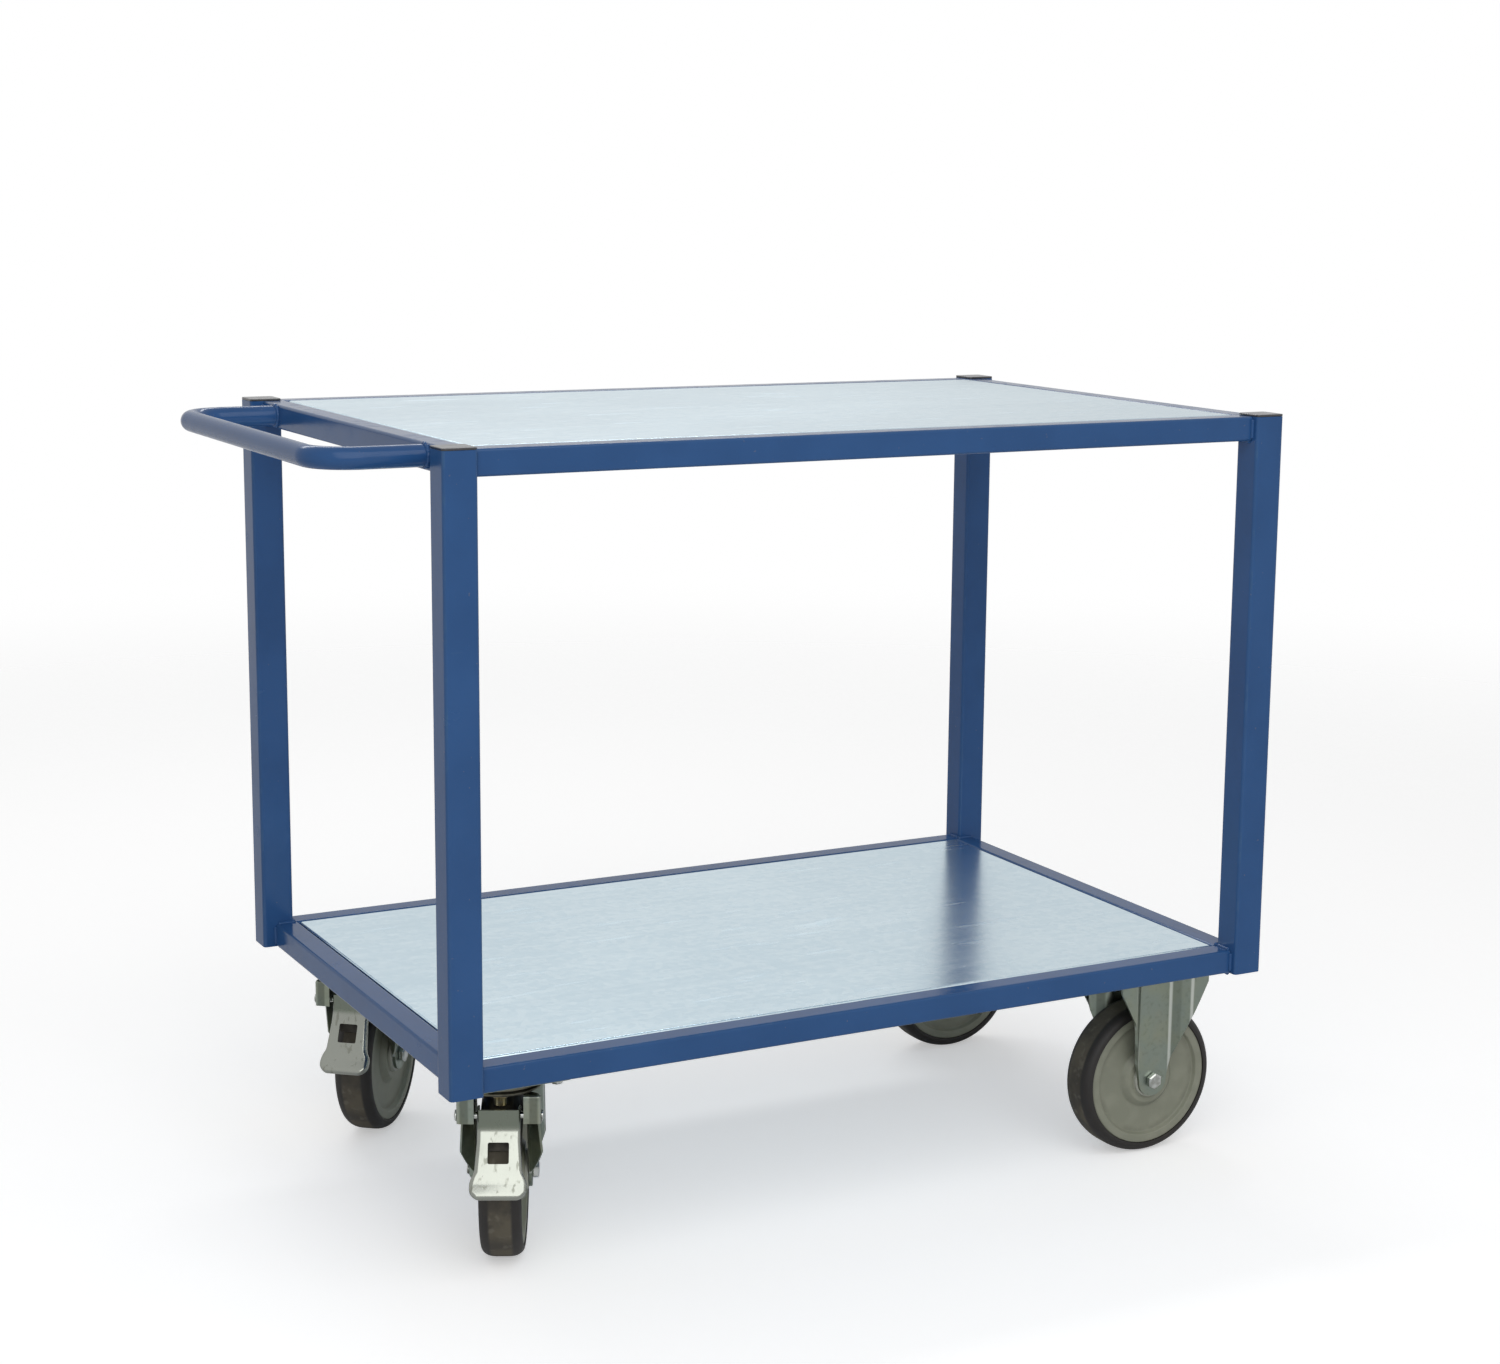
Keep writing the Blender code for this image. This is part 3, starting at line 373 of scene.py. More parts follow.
# Rails: eight lengths of 30 mm square tube between the posts, four round each shelf, set back from
# the posts' outer faces. Their ends butt on the posts and are welded there.
RAIL_WALL = 0.002
RAIL_CORNER = 0.0035
RAIL_NODES = {}
for shelf in ("upper", "lower"):
    RAIL_NODES.update({f"{shelf}_side_rail_{hand}": 0 for hand in HANDS})
    RAIL_NODES.update({f"{shelf}_end_rail_{end}": 1 for end in ENDS})
for node, along in RAIL_NODES.items():
    rail = square_tube(f"{node}_tube", node, along, RAIL_WALL, RAIL_CORNER)
    rail.data.materials.append(paint)
    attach(rail, "frame")
    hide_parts(node)


# Crossbars: rectangular tubes from side rail to side rail that carry the middle of the sheets, and
# under each end a folded beam for the castors, which keeps its CAD solid.
BAR_WALL = 0.002
BAR_CORNER = 0.0032
for node in ("lower_crossbar", "upper_crossbar_front", "upper_crossbar_rear"):
    bar = square_tube(f"{node}_tube", node, 1, BAR_WALL, BAR_CORNER)
    bar.data.materials.append(paint)
    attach(bar, "frame")
    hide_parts(node)
for end in ENDS:
    frame["nodes"][f"castor_beam_{end}"].material_slots[0].material = paint


# Push handle: a round steel tube bent twice on a mandrel to a flat U. Its open ends butt on the
# rear upper rail and are welded all round. The same blue coat covers it.
HANDLE_RADIUS = 0.0125
HANDLE_WALL = 0.002
HANDLE_BEND = 0.046


def face_out():
    """Turn all faces of the piece being edited outwards."""
    bpy.ops.mesh.select_all(action="SELECT")
    bpy.ops.mesh.normals_make_consistent(inside=False)


low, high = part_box("push_handle")
level = (low.z + high.z) / 2
right_leg = low.y + HANDLE_RADIUS
left_leg = high.y - HANDLE_RADIUS
bend_x = low.x + HANDLE_RADIUS + HANDLE_BEND
leg_start = (high.x, right_leg, level)
handle = start("circle", "push_handle_tube", vertices=40, radius=HANDLE_RADIUS,
               location=leg_start, rotation=(0, math.pi / 2, 0))
pull(bend_x - high.x, 0, 0)
quarter_turn = {"steps": 18, "angle": math.pi / 2, "axis": (0, 0, 1)}
bpy.ops.mesh.spin(center=(bend_x, right_leg + HANDLE_BEND, level), **quarter_turn)
pull(0, left_leg - right_leg - 2 * HANDLE_BEND, 0)
bpy.ops.mesh.spin(center=(bend_x, left_leg - HANDLE_BEND, level), **quarter_turn)
pull(high.x - bend_x, 0, 0)
bpy.ops.mesh.select_all(action="SELECT")
bpy.ops.mesh.remove_doubles(threshold=1e-6)
face_out()
harden(handle, "SOLIDIFY", thickness=HANDLE_WALL, offset=-1)
break_edges(handle, CUT_EDGE)
handle.data.materials.append(paint)
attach(handle, "frame")
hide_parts("push_handle")


# Weld beads: short runs of fillet weld, laid in overlapping ripples where the rails meet the posts
# and round the handle's ends. They are painted over with the frame.
BEAD = 0.0030
BEAD_RUN = 0.023
BEAD_START = 0.55              # girths of a run, as shares of the bead's own
BEAD_WAIST = 0.86
BEAD_END = 0.5
BEAD_WANDER = 0.09             # how unevenly the girth swells and shrinks
WANDER_PACE = 2.7
RIPPLES = 10
RING_GIRTH = 0.9
RING_SUNK = 0.3
RING_RIPPLES = 16
RING_CREST = 0.3               # what stands above this of a ripple's wave is raised
RING_RIPPLE_DEPTH = 0.00045
RUN_TWIST = 0.8                # each run is turned a little further, so that no two look alike


def pull_rings(profile):
    """Pull the selected ring on through a profile's radii and heights."""
    for (radius, along), (next_radius, next_along) in zip(profile, profile[1:]):
        pull(0, 0, next_along - along)
        ratio = next_radius / radius
        bpy.ops.transform.resize(value=(ratio, ratio, 1), center_override=(0, 0, next_along))


def join_as(name, pieces):
    """Make one piece of several."""
    bpy.ops.object.select_all(action="DESELECT")
    for piece in pieces:
        piece.select_set(True)
    bpy.context.view_layer.objects.active = pieces[0]
    bpy.ops.object.join()
    joined = bpy.context.active_object
    joined.name = name
    joined.data.name = name
    return joined


ripple = BEAD_RUN / RIPPLES / 2
girths = [(BEAD_START * BEAD, -BEAD_RUN / 2)]
for number in range(2 * RIPPLES):
    wide = 1.0 if number % 2 == 0 else BEAD_WAIST
    wide *= 1 - BEAD_WANDER * math.sin(WANDER_PACE * number)
    if number == 2 * RIPPLES - 1:
        wide = BEAD_END
    girths.append((wide * BEAD, -BEAD_RUN / 2 + (number + 1) * ripple))
bead = start("circle", "bead", vertices=10, radius=girths[0][0], fill_type="NGON",
             location=(0, 0, girths[0][1]))
pull_rings(girths)
bpy.ops.object.mode_set(mode="OBJECT")
runs = []
for node, along in RAIL_NODES.items():
    low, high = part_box(node)
    middle = (low + high) / 2
    across = 1 - along
    faces = [(across, 1), (across, -1), (2, -1)]
    if node.startswith("lower"):
        faces.append((2, 1))
    for rail_end in (low, high):
        for axis, way in faces:
            spot = middle.copy()
            spot[along] = rail_end[along]
            spot[axis] = (high if way > 0 else low)[axis]
            run_axis = 3 - along - axis
            turn = Matrix.Rotation(math.pi / 2 if run_axis != 2 else 0.0, 4, "XYZ"[along])
            roll = Matrix.Rotation(RUN_TWIST * len(runs), 4, "Z")
            run = bpy.data.objects.new(f"run_{len(runs)}", bead.data.copy())
            run.data.transform(Matrix.Translation(spot) @ turn @ roll)
            bpy.context.scene.collection.objects.link(run)
            runs.append(run)
bpy.data.objects.remove(bead)
low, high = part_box("push_handle")
for leg in (right_leg, left_leg):
    hub = Vector((high.x - RING_SUNK * BEAD, leg, level))
    ring = start("torus", f"ring_{len(runs)}", major_radius=HANDLE_RADIUS,
                 minor_radius=RING_GIRTH * BEAD, major_segments=96, minor_segments=10,
                 location=hub, rotation=(0, math.pi / 2, 0))

    def on_ripple(vert):
        way = math.atan2(vert.co.z - hub.z, vert.co.y - hub.y)
        return math.sin(RING_RIPPLES * way) > RING_CREST

    pick("VERT", on_ripple)
    bpy.ops.transform.shrink_fatten(value=-RING_RIPPLE_DEPTH)
    bpy.ops.object.mode_set(mode="OBJECT")
    runs.append(ring)
welds = join_as("weld_beads", runs)
bpy.ops.object.shade_smooth()
welds.data.materials.append(paint)
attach(welds, "frame")


# Post caps: moulded plastic plugs that close the posts, a thin square head with rounded edges over
# a stem that is driven into the tube.
CAP_HEAD = 0.0025
CAP_CORNER = 0.0045
CAP_ROUND = 0.0009
CAP_STEM_INSET = 0.0024
CAP_EDGE = 0.0002
SAME_SPOT = 1e-5               # places closer than this are one
CAP_BLACK = (0.012, 0.013, 0.019)
CAP_WORN = (0.030, 0.031, 0.037)
cap_plastic, place = new_finish("cap_plastic")
grain = place.noise(1500.0, 1.0)
haze = place.noise(60.0, 4.0)
close_finish(place, Base_Color=haze.step(0.45, 0.75).shade(CAP_BLACK, CAP_WORN),
             Roughness=0.08 + 0.22 * haze, Normal=grain.relief(0.0001, 0.06),
             Specular_IOR_Level=1.0)


def stands(edge, height):
    """Whether an edge climbs by more than half a height."""
    return abs(edge.verts[0].co.z - edge.verts[1].co.z) > height / 2


for end, hand in CORNERS:
    node = f"post_cap_{end}_{hand}"
    low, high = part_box(node)
    head_low = Vector((low.x, low.y, high.z - CAP_HEAD))
    cap = start_block(f"{node}_moulding", head_low, high)
    pick("EDGE", lambda edge: stands(edge, CAP_HEAD))
    round_off(CAP_CORNER, 6)
    pick("FACE", lambda face: face.normal.z > FACING)
    bpy.ops.mesh.inset(thickness=CAP_ROUND)
    bpy.ops.mesh.inset(thickness=CAP_ROUND)
    pick("EDGE", lambda edge: all(vert.co.z > high.z - SAME_SPOT for vert in edge.verts)
         and any(face.normal.z < 0.5 for face in edge.link_faces))
    round_off(0.95 * CAP_ROUND, 4)
    pick("FACE", lambda face: face.normal.z < -FACING)
    bpy.ops.mesh.inset(thickness=CAP_STEM_INSET)
    pull(0, 0, low.z - head_low.z)
    break_edges(cap, CAP_EDGE)
    cap.data.materials.append(cap_plastic)
    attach(cap, "frame")
    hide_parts(node)


# Shelf sheets: zinc-coated steel sheet, rolled bright, with its four edges folded down. The lips
# are notched where a crossbar or a beam passes under the sheet.
SHEET = 0.0015
SHEET_BEND = 0.003
SHEET_EDGE = 0.0003
NOTCH_GAP = 0.003
NOTCH_HEADROOM = 0.0003
BEAM_SHEET = 0.004
ZINC_SKY = (0.650, 0.81, 0.90)
ZINC_PALE = (0.745, 0.885, 0.955)
sheet_zinc, place = new_finish("sheet_zinc")
rolled = place.stretched((1.2, 85.0, 1.0)).noise(1.0, 6.0)
cloud = place.noise(2.6, 3.0)
cells = {"Vector": place, "Scale": 120.0}
flakes = place.node("ShaderNodeTexVoronoi", {"feature": "F1"}, cells, "Color")
flake = flakes.node("ShaderNodeSeparateColor", None, {0: flakes})
tone = 0.45 * cloud + 0.35 * rolled + 0.20 * flake
rub = place.stretched((9.0, 60.0, 1.0)).noise(1.0, 5.0).step(0.60, 0.72)
dents = place.noise(4.0, 1.0).relief(0.0022, 0.22, rolled.relief(0.00012, 0.12))
close_finish(place, Base_Color=tone.step(0.32, 0.68).shade(ZINC_SKY, ZINC_PALE), Metallic=1.0,
             Roughness=0.17 + 0.09 * cloud + 0.05 * rolled + 0.07 * rub, Normal=dents)
BARS = {"upper": ["upper_crossbar_front", "upper_crossbar_rear"], "lower": ["lower_crossbar"]}
for shelf, bars in BARS.items():
    node = f"{shelf}_shelf_sheet"
    low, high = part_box(node)
    sheet = start_block(f"{node}_folded", low, high)
    pick("FACE", lambda face: face.normal.z < -FACING)
    bpy.ops.mesh.delete(type="FACE")
    pick("EDGE", lambda edge: len(edge.link_faces) == 2)
    round_off(SHEET_BEND, 6)
    give_wall(sheet, SHEET)
    spans = [(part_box(bar)[0].x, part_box(bar)[1].x) for bar in bars]
    if shelf == "lower":
        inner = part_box("castor_beam_front")[0].x
        spans.append((inner, inner + BEAM_SHEET))
        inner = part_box("castor_beam_rear")[1].x
        spans.append((inner - BEAM_SHEET, inner))
    for first, last in spans:
        size = (last - first + 2 * NOTCH_GAP, 2 * (high.y - low.y), high.z - low.z)
        notch_level = low.z - SHEET - NOTCH_HEADROOM + size[2] / 2
        spot = ((first + last) / 2, (low.y + high.y) / 2, notch_level)
        notch = start("cube", "notch", size=1, location=spot, scale=size)
        bpy.ops.object.mode_set(mode="OBJECT")
        harden(sheet, "BOOLEAN", operation="DIFFERENCE", object=notch)
        bpy.data.objects.remove(notch)
    break_edges(sheet, SHEET_EDGE)
    sheet.data.materials.append(sheet_zinc)
    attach(sheet, "frame")
    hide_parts(node)


# Wheels: four alike, each a grey moulded rim with a conical hub and a dark rubber tyre on it. They
# are modelled round Z and then turned to lie on their axles.
WHEEL_RADIUS = 0.100
WHEEL_SIDES = 96
HALF_RIM = [                   # radius and distance from the middle plane, from the bore outwards
    (0.0103, 0.0287), (0.0222, 0.0287), (0.0232, 0.0280), (0.0236, 0.0240), (0.0256, 0.0240),
    (0.0264, 0.0247), (0.0318, 0.0247), (0.0334, 0.0233), (0.0378, 0.0188), (0.0398, 0.0175),
    (0.0580, 0.0170), (0.0722, 0.0175), (0.0742, 0.0186), (0.0762, 0.0230), (0.0776, 0.0235),
    (0.0858, 0.0235), (0.0868, 0.0227), (0.0868, 0.0185), (0.0823, 0.0185),
]
HALF_TYRE = [
    (0.0826, 0.0182), (0.0871, 0.0182), (0.0871, 0.0243), (0.0886, 0.0246), (0.0904, 0.0245),
    (0.0922, 0.0240), (0.0938, 0.0231), (0.0952, 0.0219), (0.0964, 0.0205), (0.0974, 0.0190),
    (0.0983, 0.0172), (0.0990, 0.0152), (0.0995, 0.0130), (0.0998, 0.0105), (0.1000, 0.0075),
    (0.1000, 0.0040),
]
RIM_EDGE = 0.0006
TYRE_EDGE = 0.0004
TURNED = 28                    # degrees: turned steps sharper than this get their edge broken
RIM_LIP = (0.083, 0.0868)      # radii where dirt starts to gather, and where it lies thickest
DISH_CORNER = (0.064, 0.0722, 0.0745)
HUB_FOOT = (0.033, 0.0385, 0.044)
HUB_FACE = (0.0240, 0.0232)    # the hub is pale from here inwards
TREAD_HALF = (0.0150, 0.0110)  # where the tyre rolls: distance from its middle, and radius
TREAD_RADIUS = (0.090, 0.095)
RIM_GREY = (0.248, 0.258, 0.198)
RIM_PALE = (0.284, 0.291, 0.226)
RIM_HUB = (0.42, 0.43, 0.37)
RIM_SOIL = (0.085, 0.082, 0.066)
RUBBER = (0.0170, 0.0148, 0.0136)
RUBBER_WORN = (0.112, 0.098, 0.070)
RUBBER_DUST = (0.170, 0.155, 0.120)


def both_halves(half):
    """A profile, and its mirror image after it."""
    return half + [(radius, -along) for radius, along in reversed(half)]


def turn_up(name, half):
    """A turned ring, pulled out of one circle ring by ring."""
    profile = both_halves(half)
    piece = start("circle", name, vertices=WHEEL_SIDES, radius=profile[0][0],
                  location=(0, 0, profile[0][1]))
    pull_rings(profile)
    pick("EDGE", lambda edge: len(edge.link_faces) == 1)
    bpy.ops.mesh.bridge_edge_loops()
    face_out()
    bpy.ops.object.mode_set(mode="OBJECT")
    return piece


def keep_place(piece):
    """Store where each point of the piece is before it goes to its place, for its finish."""
    spots = piece.data.attributes.new("own_place", "FLOAT_VECTOR", "POINT")
    for spot, vertex in zip(spots.data, piece.data.vertices):
        spot.vector = vertex.co


def copy_to(piece, name, matrix):
    """A copy of a piece, with its own mesh, at its place."""
    copy = bpy.data.objects.new(name, piece.data.copy())
    copy.data.name = name
    copy.data.transform(matrix)
    bpy.context.scene.collection.objects.link(copy)
    return copy


def round_place(place):
    """Own place, distance from the axle, and distance from the wheel's middle plane."""
    own = place.stored("own_place", "Vector")
    x, y, z = (own.along(axis) for axis in "XYZ")
    return own, (x * x + y * y) ** 0.5, abs(z)


def dirt_ring(radius, inner, middle, outer):
    """1 on a circle round the axle, running out to 0 inside and outside of it."""
    return radius.step(outer, middle) * radius.step(inner, middle)


rim_plastic, place = new_finish("rim_plastic")
own, radius, _ = round_place(place)
mottle = own.noise(38.0, 3.0)
grain = own.noise(1300.0, 1.0)
colour = mottle.step(0.36, 0.68).shade(RIM_GREY, RIM_PALE)
soil = radius.step(*RIM_LIP) + dirt_ring(radius, *DISH_CORNER) + dirt_ring(radius, *HUB_FOOT)
soil = soil * own.noise(34.0, 4.0).step(0.30, 0.70)
colour = (0.32 * soil).shade(colour, RIM_SOIL)
colour = radius.step(*HUB_FACE).shade(colour, RIM_HUB)
scuffs = own.stretched((40.0, 260.0, 40.0)).noise(1.0, 4.0).step(0.66, 0.74)
colour = (0.35 * scuffs).shade(colour, RIM_PALE)
close_finish(place, Base_Color=colour, Roughness=0.40 + 0.18 * mottle + 0.10 * soil,
             Normal=grain.relief(0.00012, 0.14))

tyre_rubber, place = new_finish("tyre_rubber")
own, radius, aside = round_place(place)
rolling = aside.step(*TREAD_HALF) * radius.step(*TREAD_RADIUS)
patches = own.noise(28.0, 5.0)
fine = own.noise(420.0, 3.0)
worn = rolling * (0.35 + 0.65 * patches.step(0.36, 0.66))
colour = worn.shade(RUBBER, RUBBER_WORN)
dusty = rolling * own.noise(90.0, 6.0).step(0.54, 0.70)
colour = (0.50 * dusty).shade(colour, RUBBER_DUST)
side_dust = (1 - rolling) * own.noise(17.0, 4.0).step(0.50, 0.80)
colour = (0.30 * side_dust).shade(colour, RUBBER_WORN)
pits = own.noise(900.0, 2.0) * rolling
normal = pits.relief(0.0004, 0.30, fine.relief(0.0003, 0.22))
close_finish(place, Base_Color=colour, Roughness=0.52 + 0.22 * worn + 0.10 * fine, Normal=normal)

rim = turn_up("rim", HALF_RIM)
break_edges(rim, RIM_EDGE, 2, TURNED)
keep_place(rim)
rim.data.materials.append(rim_plastic)
tyre = turn_up("tyre", HALF_TYRE)
break_edges(tyre, TYRE_EDGE, 2, TURNED)
keep_place(tyre)
tyre.data.materials.append(tyre_rubber)
joint_spot = {joint["name"]: Vector(joint["pos_m"]) for joint in frame["joints"]}
joint_axis = {joint["name"]: Vector(joint["axis"]) for joint in frame["joints"]}
CASTORS = [(kind, hand) for kind in ("fixed", "swivel") for hand in HANDS]
for kind, hand in CASTORS:
    spin = f"{kind}_wheel_{hand}_spin"
    lie = joint_axis[spin].to_track_quat("Z", "X").to_matrix().to_4x4()
    to_wheel = Matrix.Translation(joint_spot[spin]) @ lie
    for piece, part, slot in ((rim, "rim", "rim_plastic"), (tyre, "tyre", "tyre_rubber")):
        moulded = copy_to(piece, f"{kind}_wheel_{hand}_{part}", to_wheel)
        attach(moulded, f"{kind}_wheel_{hand}")
        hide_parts(f"{kind}_{hand}_wheel_{part}")
bpy.data.objects.remove(rim)
bpy.data.objects.remove(tyre)


# Castor forks: each is one pressing of zinc-plated steel. A flat strip holds the axle on each side,
# set in between two walls that run out to flanges, and the sheet is cut off on a slant below. The
# swivel forks also have two front cheeks, and short ears that carry the pedal's pin.
FORK_SHEET = 0.0035
FORK_BEND = 0.0042
FORK_EDGE = 0.0005
FORK_FLAT = 0.1                # radians: a fold of less than this isn't a bend
CUT_STEPS = 8                  # along the curved edges that the legs are cut off on
STRIP_ROUND = 0.995            # of the strip's half width, the round of its lower corners
FLANGE_LIFT = 1e-4             # keeps the flanges' corners off the height of the other corners
RECESS = (0.0004, 0.003)       # painted shade darkens the walls behind the strip's face from here on
FLANGE_FACE = (0.0425, 0.0450)  # and leaves the flanges' faces unshaded again
STRIP_FACE = 0.0328            # outer face of the strips, from the wheel's middle
FIXED_FORK = {
    "top": 0.240, "rear": (-0.0675, -0.0675), "front": (0.0675, 0.0675), "out": 0.055,
    "axle": 0.0, "strip_top": 0.0, "strip": 0.0245, "strip_end": 0.021, "wall_run": 0.018,
    "flange_drop": 0.010, "flange_end": 0.184, "wall_end": 0.125, "belly": 1.1, "cheek": 0.0,
}
SWIVEL_FORK = {
    "top": 0.2237, "rear": (-0.048, -0.062), "front": (0.038, 0.038), "out": 0.0478,
    "axle": -0.058, "strip_top": -0.004, "strip": 0.021, "strip_end": 0.020, "wall_run": 0.013,
    "flange_drop": 0.034, "flange_end": 0.141, "wall_end": 0.107, "belly": 1.5, "cheek": 0.028,
    "ear_end": 0.1845, "head_front": 0.020,
}
ZINC = (0.285, 0.318, 0.250)
ZINC_COOL = (0.262, 0.305, 0.264)
ZINC_STRAW = (0.335, 0.328, 0.238)
ZINC_DULL = (0.148, 0.160, 0.128)
ZINC_PAINTED_HIGHLIGHT = (0.62, 0.65, 0.60)
ZINC_PAINTED_SHADE = (0.040, 0.046, 0.040)

castor_zinc, place = new_finish("castor_zinc")
cloud = place.noise(24.0, 4.0)
colour = cloud.step(0.38, 0.66).shade(ZINC_COOL, ZINC)
colour = (0.4 * place.noise(23.0, 2.0).step(0.50, 0.80)).shade(colour, ZINC_STRAW)
dull = place.noise(150.0, 4.0).step(0.50, 0.75)
colour = (0.30 * dull).shade(colour, ZINC_DULL)
bend = place.stored("bend", "Fac")
own = place.stored("own_place", "Vector")
trailing = own.along("X").step(0.004, -0.004)
# Painted highlight: the bends are lightened, most on the trailing half of the fork, in place of the
# glints of light along the folds
colour = (bend * (0.20 + 0.65 * trailing)).shade(colour, ZINC_PAINTED_HIGHLIGHT)
aside = abs(own.along("Y"))
painted_wall_shade = aside.step(STRIP_FACE + RECESS[0], STRIP_FACE + RECESS[1])
painted_wall_shade = painted_wall_shade * (1 - aside.step(*FLANGE_FACE))
# Painted shade: the walls between strip and flange are darkened, less on the trailing half, for the
# shade that lies in them
colour = (painted_wall_shade * (0.46 - 0.26 * trailing)).shade(colour, ZINC_PAINTED_SHADE)
drawn = place.stretched((180.0, 180.0, 14.0)).noise(1.0, 4.0)
close_finish(place, Base_Color=colour, Metallic=1.0, Roughness=0.24 + 0.14 * cloud + 0.14 * dull,
             Normal=drawn.relief(0.00012, 0.14, place.noise(60.0, 2.0).relief(0.0007, 0.10)))


def at_any(vert, spots):
    """Whether a vertex is at one of these places."""
    return any((vert.co - spot).length < SAME_SPOT for spot in spots)


def pick_between(kind, spots):
    """Select the edges or faces whose corners are all at these places."""
    pick(kind, lambda item: all(at_any(vert, spots) for vert in item.verts))


def shift(spot, to):
    """Move the one vertex at a place to another place."""
    at = Vector(spot)
    pick("VERT", lambda vert: at_any(vert, [at]))
    bpy.ops.transform.translate(value=Vector(to) - at)


def face_outwards(way):
    """Turn an open sheet's faces so that the one that lies furthest that way looks that way."""
    face_out()
    bm = bmesh.from_edit_mesh(bpy.context.edit_object.data)
    bm.normal_update()
    face = max(bm.faces, key=lambda item: item.calc_center_median().dot(way))
    if face.normal.dot(way) < 0:
        bpy.ops.mesh.flip_normals()


def curve_edge(first, last, spot_at):
    """Divide the straight edge between two places, and move its new vertices on to a curve."""
    ends = (Vector(first), Vector(last))
    pick_between("EDGE", ends)
    bpy.ops.mesh.subdivide(number_cuts=CUT_STEPS - 1)
    for step in range(1, CUT_STEPS):
        share = step / CUT_STEPS
        shift(ends[0].lerp(ends[1], share), spot_at(share))


def cut_ear(crest_top, crest_low, flange_low, end):
    """Cut a flange off below the ear, from its lower corner to a height on the crest."""
    ends = (Vector(crest_top), Vector(crest_low))
    pick_between("EDGE", ends)
    bpy.ops.mesh.subdivide(number_cuts=1)
    ear = ends[0].lerp(ends[1], (ends[0].z - end) / (ends[0].z - ends[1].z))
    shift((ends[0] + ends[1]) / 2, ear)
    pick("VERT", lambda vert: at_any(vert, (ear, flange_low)))
    bpy.ops.mesh.vert_connect()
    pick_between("FACE", (ear, flange_low, ends[1]))
    bpy.ops.mesh.delete(type="FACE")


